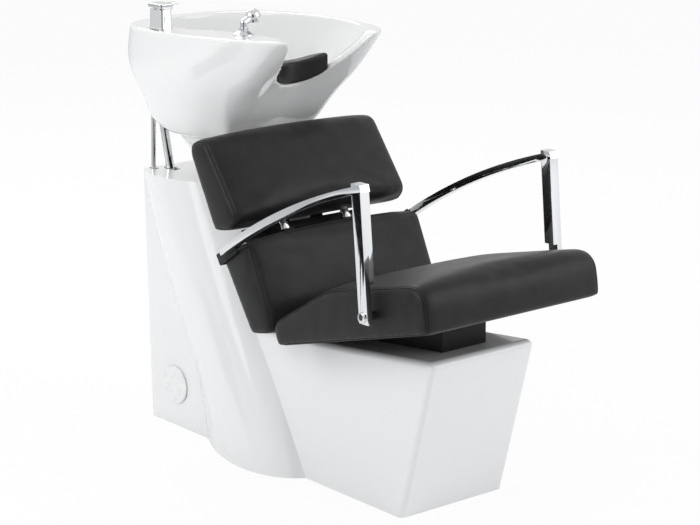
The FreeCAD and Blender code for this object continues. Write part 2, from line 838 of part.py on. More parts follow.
def stand_foot():
    """Plate under the deck with lugs for the shaft and collars for the four tubes."""
    top = stand_plate_z + stand_plate_thickness
    plate = block(-stand_plate_half_width, stand_plate_half_width, stand_plate_front, stand_plate_rear,
                  stand_plate_z, top)
    low, high = stand_plate_z, top + stand_collar_height
    parts = [plate]
    for point, radius in ((thick_point, thick_radius), (thin_point, thin_radius)):
        parts += both_sides(rod(point(low), point(high), radius + stand_collar_wall))
    outer, inner = lug_x + lug_thickness / 2.0, lug_x - lug_thickness / 2.0
    lug = block(inner, outer, tilt_y - ear_radius, tilt_y + ear_radius, top, tilt_z)
    nose = cross_rod(inner, outer, tilt_y, tilt_z, ear_radius)
    parts += both_sides(lug) + both_sides(nose)
    foot = fuse_all(parts)
    holes = [cross_rod(-tilt_shaft_half_length, tilt_shaft_half_length, tilt_y, tilt_z,
                       tilt_shaft_radius + running_gap + bush_wall)]
    for point, radius in ((thick_point, thick_radius), (thin_point, thin_radius)):
        holes += both_sides(rod(point(low + base_wall), point(high + cut_overrun), radius))
    return cut_all(foot, holes)


def tilt_bushes():
    """Flanged bushes pressed into the lugs from the inside."""
    inner_face = lug_x - lug_thickness / 2.0
    sleeve = cross_rod(inner_face, lug_x + lug_thickness / 2.0, tilt_y, tilt_z,
                       tilt_shaft_radius + running_gap + bush_wall)
    flange = cross_rod(inner_face - bush_flange, inner_face, tilt_y, tilt_z, bush_flange_radius)
    bore = cross_rod(0, tilt_shaft_half_length, tilt_y, tilt_z, tilt_shaft_radius + running_gap)
    return both_sides(fuse_all([sleeve, flange]).cut(bore))


def thick_tube():
    return hollow_tube(thick_point(stand_plate_z + base_wall), thick_point(thick_seat_z), thick_radius, thick_wall)


def thin_tube():
    return hollow_tube(thin_point(stand_plate_z + base_wall), thin_point(thin_seat_z), thin_radius, thin_wall)


def tube_sleeves():
    """Rubber sleeves round the tube tops in the basin's sockets."""
    sleeves = []
    for point, radius, seat in ((thick_point, thick_radius, thick_seat_z), (thin_point, thin_radius, thin_seat_z)):
        ring = rod(point(seat - sleeve_length), point(seat), radius + sleeve_wall)
        sleeves += both_sides(ring.cut(rod(point(seat - 2.0 * sleeve_length), point(seat + sleeve_length), radius)))
    return sleeves


# Ceramic basin
bowl_top_z = rim_height + cavity_over


def lip_plane_y(z):
    """Place of the basin's leaning front wall at a height."""
    return rim_front_y + (rim_height - z) * front_lean


def closed_section(points, inset, z):
    return Part.Wire([spline([V(x, y, z) for x, y in inset_loop(points, inset)], closed=True)])


def bowl_section(row, inset):
    drop, front_share, rear_share, width_share, corner_share, dish_share = row
    z = between(bowl_top_z, bowl_bottom_height, drop)
    front = rim_front_y + front_share * basin_length
    run = rim_front_y + rear_share * basin_length - front
    half = basin_half_width * width_share
    corner = half * corner_share
    dish = basin_length * dish_share
    right = [(corner * x, front + dish * depth + run * front_bow_share * x) for x, depth in front_plan_shares]
    right += [(half * x, front + run * y) for x, y in bowl_plan_shares]
    loop = [(0.0, front + dish)] + right + [(0.0, front + run)] + [(-x, y) for x, y in reversed(right)]
    return closed_section(loop, inset, z)


def bowl_solid(inset):
    return smooth_loft([bowl_section(row, inset) for row in bowl_section_shares])


def cavity_section(row, inset):
    drop, front_share, rear_share, right_share, left_share = row
    z = between(bowl_top_z, cavity_floor_z, drop) + inset * drop
    front = rim_front_y + front_share * basin_length
    run = (rear_share - front_share) * basin_length
    right = [(-basin_half_width * right_share * x, front + run * y) for x, y in cavity_right_shares]
    left = [(basin_half_width * left_share * x, front + run * y) for x, y in cavity_left_shares]
    middle = basin_half_width * (left_share - right_share) / 2.0
    loop = [(middle, front)] + left + [(middle, front + run)] + list(reversed(right))
    return closed_section(loop, inset, z)


def cavity_solid(inset):
    return smooth_loft([cavity_section(row, inset) for row in cavity_section_shares])


def rim_half_space(drop):
    """Everything above the rim's gently falling plane, lowered by a drop."""
    front, rear = rim_front_y - 3.0 * cut_overrun, rim_front_y + basin_length + 3.0 * cut_overrun
    half = basin_half_width + cut_overrun
    def plane_z(y):
        return rim_height - drop - (y - rim_front_y) * rim_fall
    high = rim_height + 4.0 * cut_overrun
    return side_prism(((front, plane_z(front)), (rear, plane_z(rear)), (rear, high), (front, high)), -half, half)


def notch_loop(grow):
    """Outline of the neck notch in the X and Z directions, closed above the rim."""
    depth = rim_height - lip_centre_height
    side = [(neck_half_width * x + grow, lip_centre_height + depth * z) for x, z in notch_shares]
    low = lip_centre_height - grow
    return side, low


def notch_prism(grow, y0, y1):
    side, low = notch_loop(grow)
    curve = [V(-x, y0, z) for x, z in side] + [V(0, y0, low)] + [V(x, y0, z) for x, z in reversed(side)]
    high = rim_height + 3.0 * cut_overrun
    corner_left, corner_right = V(-side[0][0], y0, high), V(side[0][0], y0, high)
    edges = [spline(curve), Part.makeLine(curve[-1], corner_right), Part.makeLine(corner_right, corner_left),
             Part.makeLine(corner_left, curve[0])]
    return Part.Face(Part.Wire(edges)).extrude(V(0, y1 - y0, 0))


def front_slab(y_before, y_behind):
    """Leaning slab along the basin's front wall, from before it to behind it."""
    low, high = lip_centre_height - 3.0 * cut_overrun, rim_height + 3.0 * cut_overrun
    return side_prism(((lip_plane_y(low) - y_before, low), (lip_plane_y(low) + y_behind, low),
                       (lip_plane_y(high) + y_behind, high), (lip_plane_y(high) - y_before, high)),
                      -basin_half_width, basin_half_width)


def hub_solid(inset):
    def ring(z, radius):
        return Part.Wire([Part.Circle(V(0, hub_y, z), V(0, 0, 1), radius - inset).toShape()])
    return smooth_loft([ring(hub_bottom_z, hub_bottom_radius), ring(hub_waist_z, hub_waist_radius),
                        ring(hub_top_z, hub_top_radius)])


def tube_bosses(grow):
    """Solid bosses round the tube sockets, or the sockets themselves."""
    shapes = []
    for point, radius, seat in ((thick_point, thick_radius, thick_seat_z), (thin_point, thin_radius, thin_seat_z)):
        low, high = point(bowl_bottom_height - 2.0 * cut_overrun), point(seat + grow)
        shapes += both_sides(rod(low, high, radius + sleeve_wall + grow))
    return shapes


def mixer_deck_z(y):
    return rim_height - (y - rim_front_y) * rim_fall


def basin():
    outer = bowl_solid(0.0).cut(rim_half_space(0.0)).fuse(hub_solid(0.0))
    hollow = bowl_solid(basin_wall).cut(rim_half_space(deck_thickness))
    hollow = hollow.cut(cavity_solid(-basin_wall))
    hollow = cut_all(hollow, tube_bosses(boss_wall))
    waste_boss = upright_rod(waste_x, waste_y, bowl_bottom_height, bowl_top_z, waste_hole_radius + boss_wall)
    lip_wall = notch_prism(basin_wall, -basin_half_width, basin_half_width)
    lip_wall = lip_wall.common(front_slab(3.0 * cut_overrun, notch_depth + basin_wall))
    hollow = cut_all(hollow, [waste_boss, lip_wall])
    basin_body = cut_all(outer, [hub_solid(basin_wall), hollow, cavity_solid(0.0)])
    notch = notch_prism(0.0, -basin_half_width, basin_half_width)
    notch = notch.common(front_slab(3.0 * cut_overrun, notch_depth))
    tools = tube_bosses(0.0) + [notch]
    tools.append(upright_rod(waste_x, waste_y, hub_bottom_z, rim_height, waste_hole_radius))
    tools.append(upright_rod(mixer_x, mixer_y, mixer_deck_z(mixer_y) - 3.0 * cut_overrun, bowl_top_z, mixer_hole_radius))
    tools.append(upright_rod(shower_x, shower_y, mixer_deck_z(shower_y) - 3.0 * cut_overrun, bowl_top_z,
                             shower_hole_radius))
    return cut_all(basin_body, tools)


def neck_rest():
    """Gel cushion that stands in the notch behind the dished lip, its top hollowed for the neck."""
    side, low = notch_loop(0.0)
    front = [(0.0, low)] + [(x, z) for x, z in reversed(side) if x < basin_half_width / 2.0]
    widest = front[-1][0]
    curve = [V(x, lip_plane_y(z) + neck_rest_setback + neck_rest_dish * (1.0 - x / widest), 0) for x, z in front]
    curve = [V(-point.x, point.y, 0) for point in reversed(curve[1:])] + curve
    rear = [point + V(0, neck_rest_depth, 0) for point in curve]
    outline = Part.Wire([spline(curve), Part.makeLine(curve[-1], rear[-1]), spline(list(reversed(rear))),
                         Part.makeLine(rear[0], curve[0])])
    plan = Part.Face(outline).extrude(V(0, 0, rim_height))
    span = block(-neck_rest_half_width, neck_rest_half_width, -basin_half_width, basin_half_width,
                 lip_centre_height - cut_overrun, rim_height)
    hollow_z = lip_centre_height + neck_rest_height + neck_rest_hollow_radius
    hollow = rod(V(0, -basin_half_width, hollow_z), V(0, basin_half_width, hollow_z), neck_rest_hollow_radius)
    body = notch_prism(-soft_gap, -basin_half_width, basin_half_width).common(plan).common(span).cut(hollow)
    front_top = [edge for edge in body.Edges if edge.CenterOfMass.z > lip_centre_height + neck_rest_height / 2.0
                 and edge.BoundBox.XLength > neck_rest_half_width]
    return body.makeFillet(neck_rest_rounding, front_top)


# Waste
def waste_flange():
    """Flanged waste body seated on the bowl's floor."""
    top = cavity_floor_z + waste_flange_height
    flange = upright_rod(waste_x, waste_y, cavity_floor_z, top, waste_flange_radius)
    body = upright_rod(waste_x, waste_y, top - waste_body_length, top, waste_body_radius)
    bore = upright_rod(waste_x, waste_y, top - waste_body_length, top, waste_bore_radius)
    seat_radius = waste_bore_radius - strainer_ledge
    ledge_top = top - strainer_depth
    ledge = upright_rod(waste_x, waste_y, ledge_top - strainer_thickness, ledge_top, waste_bore_radius)
    opening = upright_rod(waste_x, waste_y, ledge_top - strainer_depth, top, seat_radius)
    return fuse_all([flange, body]).cut(bore).fuse(ledge.cut(opening)).removeSplitter()


def strainer():
    """Perforated cup with a pull knob, resting on the ledge in the waste."""
    low = cavity_floor_z + waste_flange_height - strainer_depth + fit_gap
    plate = upright_rod(waste_x, waste_y, low, low + strainer_thickness, strainer_radius)
    wall = upright_rod(waste_x, waste_y, low, low + strainer_depth - waste_flange_height, strainer_radius)
    inside = upright_rod(waste_x, waste_y, low + strainer_thickness, low + strainer_depth,
                         strainer_radius - strainer_wall)
    knob = upright_rod(waste_x, waste_y, low, low + strainer_knob_height, strainer_knob_radius)
    holes = []
    for k in range(strainer_holes):
        angle = 2.0 * math.pi * k / strainer_holes
        x, y = waste_x + strainer_hole_ring * math.cos(angle), waste_y + strainer_hole_ring * math.sin(angle)
        holes.append(upright_rod(x, y, low - cut_overrun, low + cut_overrun, strainer_hole_radius))
    return cut_all(fuse_all([plate, wall.cut(inside), knob]), holes)


def waste_nut():
    """Back nut under the bowl, with six flats."""
    top = bowl_bottom_height
    corners = []
    for k in range(7):
        angle = math.pi / 3.0 * k
        corners.append(V(waste_x + waste_nut_radius * math.cos(angle),
                         waste_y + waste_nut_radius * math.sin(angle), top - waste_nut_height))
    nut = Part.Face(Part.makePolygon(corners)).extrude(V(0, 0, waste_nut_height))
    return nut.cut(upright_rod(waste_x, waste_y, top - 2.0 * waste_nut_height, top, waste_body_radius))


# Mixer on the deck
def mixer_foot_z():
    """Lowest height of the deck under the mixer's footprint."""
    return mixer_deck_z(mixer_y - mixer_half_y)


def rounded_block(x, y, half_x, half_y, z0, z1, radius):
    body = block(x - half_x, x + half_x, y - half_y, y + half_y, z0, z1)
    upright = [edge for edge in body.Edges if abs(edge.tangentAt(edge.FirstParameter).z) > 0.99]
    return body.makeFillet(radius, upright)


def mixer_body():
    foot = mixer_foot_z()
    top = foot + mixer_height
    lip = rounded_block(mixer_x, mixer_y, mixer_half_x + mixer_base_lip, mixer_half_y + mixer_base_lip,
                        foot, foot + mixer_base_height, mixer_corner + mixer_base_lip)
    body = rounded_block(mixer_x, mixer_y, mixer_half_x, mixer_half_y, foot, top, mixer_corner)
    shank = upright_rod(mixer_x, mixer_y, foot - mixer_shank_length, foot, mixer_shank_radius)
    socket = upright_rod(mixer_x, mixer_y, top - spindle_height, top, spindle_radius + running_gap)
    return fuse_all([lip, body, shank]).cut(socket)


def mixer_nut():
    top = mixer_deck_z(mixer_y + mixer_nut_radius) - deck_thickness
    low = top - mixer_nut_height
    nut = upright_rod(mixer_x, mixer_y, low, top, mixer_nut_radius)
    return nut.cut(upright_rod(mixer_x, mixer_y, low, top, mixer_shank_radius))


def mixer_spindle():
    """Turning stem of the mixer, with a pin that the lever lifts on."""
    top = mixer_foot_z() + mixer_height
    stem = upright_rod(mixer_x, mixer_y, top - spindle_height + fit_gap, top + spindle_rise, spindle_radius)
    slot = block(lever_pin_x() - spindle_tongue_half_length, lever_pin_x() + spindle_tongue_half_length,
                 mixer_y - spindle_tongue, mixer_y + spindle_tongue, top + lever_play, top + 2.0 * spindle_rise)
    sides = block(mixer_x - 2.0 * spindle_radius, mixer_x + 2.0 * spindle_radius, mixer_y - 2.0 * spindle_radius,
                  mixer_y + 2.0 * spindle_radius, top + lever_play, top + 2.0 * spindle_rise)
    stem = stem.cut(sides.cut(slot))
    pin = rod(V(lever_pin_x(), mixer_y - spindle_pin_half_length, lever_pivot_z()),
              V(lever_pin_x(), mixer_y + spindle_pin_half_length, lever_pivot_z()), spindle_pin_radius)
    return fuse_all([stem, pin])


def lever_pin_x():
    return mixer_x - lever_pin_offset


def lever_pivot_z():
    return mixer_foot_z() + mixer_height + spindle_rise / 2.0


def mixer_lever():
    """Cap with a tongue towards the bowl; it hinges on the spindle's pin and clears the body."""
    low = mixer_foot_z() + mixer_height + lever_play
    cap = rounded_block(mixer_x, mixer_y, lever_half_x, lever_half_y, low, low + lever_height, mixer_corner)
    top_edges = [edge for edge in cap.Edges if edge.CenterOfMass.z > low + lever_height - fit_gap]
    cap = cap.makeFillet(lever_top_rounding, top_edges)
    tongue = block(mixer_x, mixer_x + lever_half_x + lever_tongue_length, mixer_y - lever_tongue_half_width,
                   mixer_y + lever_tongue_half_width, low + lever_height - lever_tongue_thickness - lever_play,
                   low + lever_height - lever_play)
    lever = fuse_all([cap, tongue])
    room = block(lever_pin_x() - spindle_tongue_half_length - lever_swing_gap,
                 lever_pin_x() + spindle_tongue_half_length + lever_swing_gap,
                 mixer_y - spindle_tongue - fit_gap, mixer_y + spindle_tongue + fit_gap,
                 low - cut_overrun, low + lever_height - lever_roof)
    relief = side_relief(low)
    pin_hole = rod(V(lever_pin_x(), mixer_y - lever_half_y + lever_roof, lever_pivot_z()),
                   V(lever_pin_x(), mixer_y + lever_half_y - lever_roof, lever_pivot_z()),
                   spindle_pin_radius + running_gap)
    return cut_all(lever, [room, relief, pin_hole])


def side_relief(low):
    """Wedge off the cap's underside behind its pin, so that the lever can tip up."""
    reach = 2.0 * lever_half_x
    y = mixer_y - 2.0 * lever_half_y
    points = [V(lever_pin_x(), y, low), V(lever_pin_x() - reach, y, low),
              V(lever_pin_x() - reach, y, low + reach * math.tan(lever_lift))]
    face = Part.Face(Part.makePolygon(points + points[:1]))
    return face.extrude(V(0, 4.0 * lever_half_y, 0))


# Hand shower on the deck
def shower_foot_z():
    return mixer_deck_z(shower_y - escutcheon_radius)


def shower_guide():
    """Escutcheon on the deck and the sleeve through it that holds the handle."""
    foot = shower_foot_z()
    def ring(z, radius):
        return Part.Wire([Part.Circle(V(shower_x, shower_y, z), V(0, 0, 1), radius).toShape()])
    bell = Part.makeLoft([ring(foot, escutcheon_radius), ring(foot + escutcheon_rim, escutcheon_radius),
                          ring(foot + escutcheon_height, escutcheon_collar_radius),
                          ring(foot + escutcheon_collar_height, escutcheon_collar_radius)], True, True)
    sleeve = upright_rod(shower_x, shower_y, foot - guide_length, foot, guide_radius)
    bore = upright_rod(shower_x, shower_y, foot - guide_length, foot + 2.0 * escutcheon_collar_height,
                       handle_radius + fit_gap)
    return fuse_all([bell, sleeve]).cut(bore)


def shower_nut():
    top = mixer_deck_z(shower_y + guide_nut_radius) - deck_thickness
    nut = upright_rod(shower_x, shower_y, top - guide_nut_height, top, guide_nut_radius)
    return nut.cut(upright_rod(shower_x, shower_y, top - guide_nut_height, top, guide_radius))


def hand_shower():
    """Handle, bent neck and domed spray head with its nozzle ring facing down."""
    foot = shower_foot_z()
    bend_z = foot + handle_rise
    handle = upright_rod(shower_x, shower_y, foot - handle_depth, bend_z, handle_radius)
    head_centre = V(shower_x + head_reach, shower_y, foot + head_lift)
    neck = rod(V(shower_x, shower_y, bend_z), head_centre, handle_radius)
    knuckle = Part.makeSphere(handle_radius, V(shower_x, shower_y, bend_z))
    dome = Part.makeSphere(head_radius, head_centre)
    flat = block(head_centre.x - 2.0 * head_radius, head_centre.x + 2.0 * head_radius,
                 shower_y - 2.0 * head_radius, shower_y + 2.0 * head_radius,
                 head_centre.z - 2.0 * head_radius, head_centre.z - head_radius / 3.0)
    nozzle = rod(V(head_centre.x, shower_y, head_centre.z - head_radius / 3.0),
                 V(head_centre.x, shower_y, head_centre.z - head_radius / 3.0 - nozzle_height), nozzle_radius)
    return fuse_all([handle, knuckle, neck, dome.cut(flat), nozzle])


# Cushions
def cushion(slope, half_width, length, thickness, corner_shares, crown_shares, radii, grow=0.0):
    """Pad lofted across its width: crowned in the middle, rounded and drawn in at its sides."""
    wires = []
    stations = list(cushion_station_shares) + [(-x, crown, draw) for x, crown, draw
                                               in reversed(cushion_station_shares[:-1])]
    for width_share, crown, draw in stations:
        points = []
        for (run, rise), (run_crown, rise_crown) in zip(corner_shares, crown_shares):
            points.append(((run + run_crown * crown) * length, (rise + rise_crown * crown) * thickness))
        points = inset_loop(points, cushion_side_draw * draw - grow)
        outline = [slope.at(run, max(rise, -grow)) for run, rise in points]
        wires.append(rounded_outline(outline, radii, (half_width + grow) * width_share))
    return smooth_loft(wires)


def seat_core(grow):
    points = [(run * seat_length, rise * seat_core_height) for run, rise in seat_core_shares]
    points = inset_loop(points, -grow) if grow else points
    half = seat_half_width - seat_core_side_inset + grow
    return seat_slope.prism(points, -half, half)


def bolt_y_z_rod(x0, x1, radius):
    return cross_rod(x0, x1, arm_bolt_y, arm_bolt_z, radius)


def seat_pad(grow):
    return cushion(seat_slope, seat_half_width, seat_length, seat_thickness, seat_corner_shares,
                   seat_crown_shares, seat_corner_radii, grow)


def seat_cushion():
    pad = seat_pad(0.0)
    return cut_all(pad, [seat_core(soft_gap)] + both_sides(
        bolt_y_z_rod(-arm_outer_x, -seat_half_width + seat_core_side_inset - soft_gap,
                     arm_spacer_radius + soft_gap)))


def back_board(slope, length, grow):
    half = seat_half_width - board_inset + grow
    return slope.slab(board_inset - grow, length - board_inset + grow, -pad_back_gap - grow,
                      board_thickness + grow, -half, half)


def lower_back_cushion():
    pad = cushion(lower_slope, seat_half_width, lower_length, lower_thickness, lower_corner_shares,
                  lower_crown_shares, lower_corner_radii)
    return cut_all(pad, [back_board(lower_slope, lower_length, soft_gap), seat_pad(soft_gap)])


def upper_back_cushion():
    pad = cushion(upper_slope, seat_half_width, upper_length, upper_thickness, upper_corner_shares,
                  upper_crown_shares, upper_corner_radii)
    return pad.cut(back_board(upper_slope, upper_length, soft_gap))


# Black steel frames
def seat_frame():
    plate = top_layer(plate_front_y, plate_rear_y, 0, plate_thickness, -plate_half_width, plate_half_width)
    def wedge(front, rear, lift, half):
        return side_prism(((front, trunk_top_z(front)), (rear, trunk_top_z(rear)),
                           (rear, seat_underside_z(rear) - lift), (front, seat_underside_z(front) - lift)),
                          -half, half)
    outer = wedge(block_front_y, block_rear_y, 0, block_half_width)
    inner = wedge(block_front_y + block_wall, block_rear_y - block_wall, block_wall, block_half_width - block_wall)
    frame = fuse_all([outer.cut(inner), plate])
    return cut_all(frame, [upright_rod(x, y, 0, column_height, seat_bolt_radius)
                           for x, y in seat_bolt_places()])


def back_frame():
    """Foot plate, two bent uprights, straps behind the pads, arm brackets and the plate behind the gap."""
    foot = top_layer(back_foot_front, back_foot_rear, 0, plate_thickness, -plate_half_width, plate_half_width)
    low = lower_slope.at(0, -pad_back_gap)
    foot_run = (trunk_top_z(low[0]) - low[1]) / lower_slope.along[1]
    inner = [lower_slope.at(foot_run, -pad_back_gap), lower_slope.at(lower_length, -pad_back_gap),
             upper_slope.at(0, -pad_back_gap), upper_slope.at(upper_length * upright_top_share, -pad_back_gap)]
    back = -pad_back_gap - upright_thickness
    outer = [lower_slope.at(foot_run - upright_thickness, back), lower_slope.at(lower_length, back),
             upper_slope.at(0, back), upper_slope.at(upper_length * upright_top_share, back)]
    half = upright_width / 2.0
    upright = side_prism(inner + list(reversed(outer)), -upright_x - half, -upright_x + half)
    under_top = top_layer(back_foot_front - cut_overrun, back_foot_rear + cut_overrun, -2.0 * cut_overrun, 0,
                          -upright_x - upright_width, upright_x + upright_width)
    parts = [foot] + both_sides(upright.cut(under_top))
    strap_back = -pad_back_gap - strap_thickness
    start = upper_length * upper_strap_share
    parts.append(upper_slope.slab(start, start + strap_width, strap_back, -pad_back_gap,
                                  -upper_strap_half_width, upper_strap_half_width))
    start = lower_length * lower_strap_share
    parts.append(lower_slope.slab(start, start + strap_width, strap_back, -pad_back_gap,
                                  -strap_half_width, strap_half_width))
    bracket = lower_slope.slab(start, start + bracket_length, strap_back, bracket_reach,
                               -bracket_inner_x - bracket_thickness, -bracket_inner_x)
    parts += both_sides(bracket)
    start = gap_plate_run()
    parts.append(lower_slope.slab(start, start + gap_plate_height, -pad_back_gap, gap_plate_thickness - pad_back_gap,
                                  -gap_plate_half_width, gap_plate_half_width))
    tab = lower_slope.slab(start, start + stud_tab_thickness, -pad_back_gap, stud_tab_reach,
                           -stud_x - stud_tab_half_width, -stud_x + stud_tab_half_width)
    frame = fuse_all(parts + both_sides(tab))
    holes = [upright_rod(x, y, 0, column_height, seat_bolt_radius) for x, y in seat_bolt_places()]
    y, z = rear_bolt_place()
    holes.append(cross_rod(-arm_outer_x, arm_outer_x, y, z, arm_bolt_radius))
    return cut_all(frame, holes)


def gap_plate_run():
    """Where the plate behind the gap starts along the lower pad's back."""
    return lower_length + gap_plate_start


def pad_studs():
    """Chrome studs with collars, standing on the tabs in the gap between the two back pads."""
    start = gap_plate_run() + stud_tab_thickness
    ends = [lower_slope.at(start + run, stud_axis_rise) for run in (0.0, stud_collar_height, stud_length)]
    low, middle, high = [V(-stud_x, y, z) for y, z in ends]
    return both_sides(fuse_all([rod(low, high, stud_radius), rod(low, middle, stud_collar_radius)]))


# Chrome arms
def arm_band(inset):
    """Curved rail between two concentric arcs, in the side view."""
    start = V(0, arm_rear_y, arm_rear_z)
    end = V(0, arm_front_y, arm_top_z)
    chord = end - start
    up = V(0, chord.z, -chord.y).normalize()
    middle = (start + end) * 0.5 + up * arm_sagitta
    arc = Part.ArcOfCircle(start, middle, end)
    centre = arc.Center
    def on_arc(point, shift):
        return centre + (point - centre).normalize() * (arc.Radius - shift)
    reach = -cut_overrun if inset else 0.0
    along = chord.normalize()
    tail = start + along * reach
    shifts = (inset, arm_rail_height - inset)
    upper = Part.Arc(on_arc(tail, shifts[0]), on_arc(middle, shifts[0]), on_arc(end, shifts[0])).toShape()
    lower = Part.Arc(on_arc(end, shifts[1]), on_arc(middle, shifts[1]), on_arc(tail, shifts[1])).toShape()
    runs = [Part.makeLine(on_arc(end, shifts[0]), on_arc(end, shifts[1])),
            Part.makeLine(on_arc(tail, shifts[1]), on_arc(tail, shifts[0]))]
    face = Part.Face(Part.Wire([upper, runs[0], lower, runs[1]]))
    face.translate(V(-arm_outer_x + inset, 0, 0))
    return face.extrude(V(arm_width - 2.0 * inset, 0, 0))


def post_prism(inset):
    """Front post: leans a little, and its foot is cut square."""
    shift = (arm_top_z - post_bottom_z) * math.tan(post_lean)
    top, low = arm_top_z - inset, post_bottom_z + inset
    outline = ((arm_front_y + inset, top), (arm_front_y + post_depth - inset, top),
               (arm_front_y + post_depth - shift - inset, low), (arm_front_y - shift + inset, low))
    return side_prism(outline, -arm_outer_x + inset, -arm_outer_x + arm_width - inset)


def rear_bolt_place():
    share = rear_bolt_inset / math.hypot(arm_front_y - arm_rear_y, arm_top_z - arm_rear_z)
    y, z = between(arm_rear_y, arm_front_y, share), between(arm_rear_z, arm_top_z, share)
    return y, z - arm_rail_height / 2.0 + arm_wall


def arm_right():
    shell = fuse_all([arm_band(0.0), post_prism(0.0)])
    front_wall = block(-2.0 * arm_outer_x, 0, 2.0 * arm_front_y, arm_front_y + arm_wall, 0, 2.0 * arm_top_z)
    hollow = cut_all(shell, [arm_band(arm_wall).cut(front_wall), post_prism(arm_wall)])
    inner_x = -arm_outer_x + arm_width
    relief = block(inner_x - post_relief_depth, inner_x + cut_overrun, 2.0 * arm_front_y, arm_front_y + 3.0 * post_depth,
                   post_bottom_z - cut_overrun, post_relief_top_z)
    web = block(inner_x - post_relief_depth - arm_wall, inner_x - post_relief_depth, 2.0 * arm_front_y,
                arm_front_y + 3.0 * post_depth, post_bottom_z, post_relief_top_z + arm_wall)
    cap = block(inner_x - post_relief_depth - arm_wall, inner_x, 2.0 * arm_front_y, arm_front_y + 3.0 * post_depth,
                post_relief_top_z, post_relief_top_z + arm_wall)
    walls = fuse_all([web, cap]).common(post_prism(0.0))
    arm = fuse_all([hollow.cut(relief), walls])
    y, z = rear_bolt_place()
    holes = [bolt_y_z_rod(-2.0 * arm_outer_x, 0, arm_bolt_radius),
             cross_rod(inner_x - rear_bolt_depth, 0, y, z, arm_bolt_radius)]
    return cut_all(arm, holes)


def mirrored(shape):
    return shape.mirror(V(0, 0, 0), V(1, 0, 0))


def arm_plugs():
    """Plastic plugs in the open rear ends of the arm rails."""
    tail = V(-arm_outer_x, arm_rear_y, arm_rear_z)
    ahead = V(0, arm_front_y - arm_rear_y, arm_top_z - arm_rear_z).normalize()
    inside = arm_band(arm_wall)
    slab = rod(tail - ahead * 0, tail + ahead * arm_plug_depth, 3.0 * arm_width)
    return both_sides(inside.common(slab))


def arm_bolts():
    """Front bolts with domed caps, their spacers, and the short rear bolts."""
    outer = -arm_outer_x
    cap = bolt_y_z_rod(outer - arm_cap_height, outer, arm_cap_radius)
    cap = cap.makeFillet(arm_cap_height * cap_rounding_share, [edge for edge in cap.Edges
                                               if edge.CenterOfMass.x < outer - arm_cap_height * cap_face_share])
    core_side = -seat_half_width + seat_core_side_inset
    shank = bolt_y_z_rod(outer, core_side, arm_bolt_radius)
    y, z = rear_bolt_place()
    rear = cross_rod(-bracket_inner_x - bracket_thickness - rear_bolt_depth, -bracket_inner_x, y, z,
                     arm_bolt_radius)
    return both_sides(fuse_all([cap, shank])) + both_sides(rear)


def arm_spacers():
    inner = -arm_outer_x + arm_width - post_relief_depth
    core_side = -seat_half_width + seat_core_side_inset
    spacer = bolt_y_z_rod(inner, core_side, arm_spacer_radius)
    return both_sides(spacer.cut(bolt_y_z_rod(inner, core_side, arm_bolt_radius)))


def main():
    save("base_shell", [base_shell()])
    save("rear_cover", [rear_cover()])
    save("access_cap", [access_cap()])
    save("floor_frame", [floor_frame()])
    save("seat_pillar", [seat_pillar()])
    save("seat_bolts", seat_bolts())
    save("mast", [mast()])
    save("tilt_shaft", [tilt_shaft()])
    save("stand_foot", [stand_foot()])
    save("tilt_bushes", tilt_bushes())
    for name, tube in (("thick_tube", thick_tube()), ("thin_tube", thin_tube())):
        save(name + "_right", [tube])
        save(name + "_left", [mirrored(tube)])
    save("tube_sleeves", tube_sleeves())
    save("basin", [basin()])
    save("neck_rest", [neck_rest()])
    save("waste_flange", [waste_flange()])
    save("waste_strainer", [strainer()])
    save("waste_nut", [waste_nut()])
    save("mixer_body", [mixer_body()])
    save("mixer_nut", [mixer_nut()])
    save("mixer_spindle", [mixer_spindle()])
    save("mixer_lever", [mixer_lever()])
    save("shower_guide", [shower_guide()])
    save("shower_nut", [shower_nut()])
    save("hand_shower", [hand_shower()])
    save("seat_cushion", [seat_cushion()])
    save("seat_core", [seat_core(0.0)])
    save("lower_back_cushion", [lower_back_cushion()])
    save("lower_back_board", [back_board(lower_slope, lower_length, 0.0)])
    save("upper_back_cushion", [upper_back_cushion()])
    save("upper_back_board", [back_board(upper_slope, upper_length, 0.0)])
    save("seat_frame", [seat_frame()])
    save("back_frame", [back_frame()])
    save("pad_studs", pad_studs())
    arm = arm_right()
    save("arm_right", [arm])
    save("arm_left", [mirrored(arm)])
    save("arm_plugs", arm_plugs())
    save("arm_bolts", arm_bolts())
    save("arm_spacers", arm_spacers())


main()
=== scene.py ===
"""Salon backwash unit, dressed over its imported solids.

Metres, +Z up. The sitter faces -Y and the sitter's right hand is on -X.
"""
import contextlib
import math

import bmesh
import bpy
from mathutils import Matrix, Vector
from mathutils.bvhtree import BVHTree


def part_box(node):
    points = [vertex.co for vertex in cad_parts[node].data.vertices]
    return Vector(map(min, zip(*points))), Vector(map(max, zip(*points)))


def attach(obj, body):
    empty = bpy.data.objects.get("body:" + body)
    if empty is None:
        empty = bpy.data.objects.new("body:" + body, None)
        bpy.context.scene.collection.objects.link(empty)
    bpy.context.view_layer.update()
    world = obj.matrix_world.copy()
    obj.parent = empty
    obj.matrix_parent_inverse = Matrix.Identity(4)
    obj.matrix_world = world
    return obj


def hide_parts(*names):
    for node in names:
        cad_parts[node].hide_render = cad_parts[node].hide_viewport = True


bl_info = {
    "name": "Salon Backwash Unit",
    "version": (1, 0, 0),
    "blender": (4, 5, 0),
    "location": "View3D > Sidebar > Backwash",
    "description": "Finishes, upholstery and glaze for a reclined salon seat with a hair basin",
    "category": "Object",
}

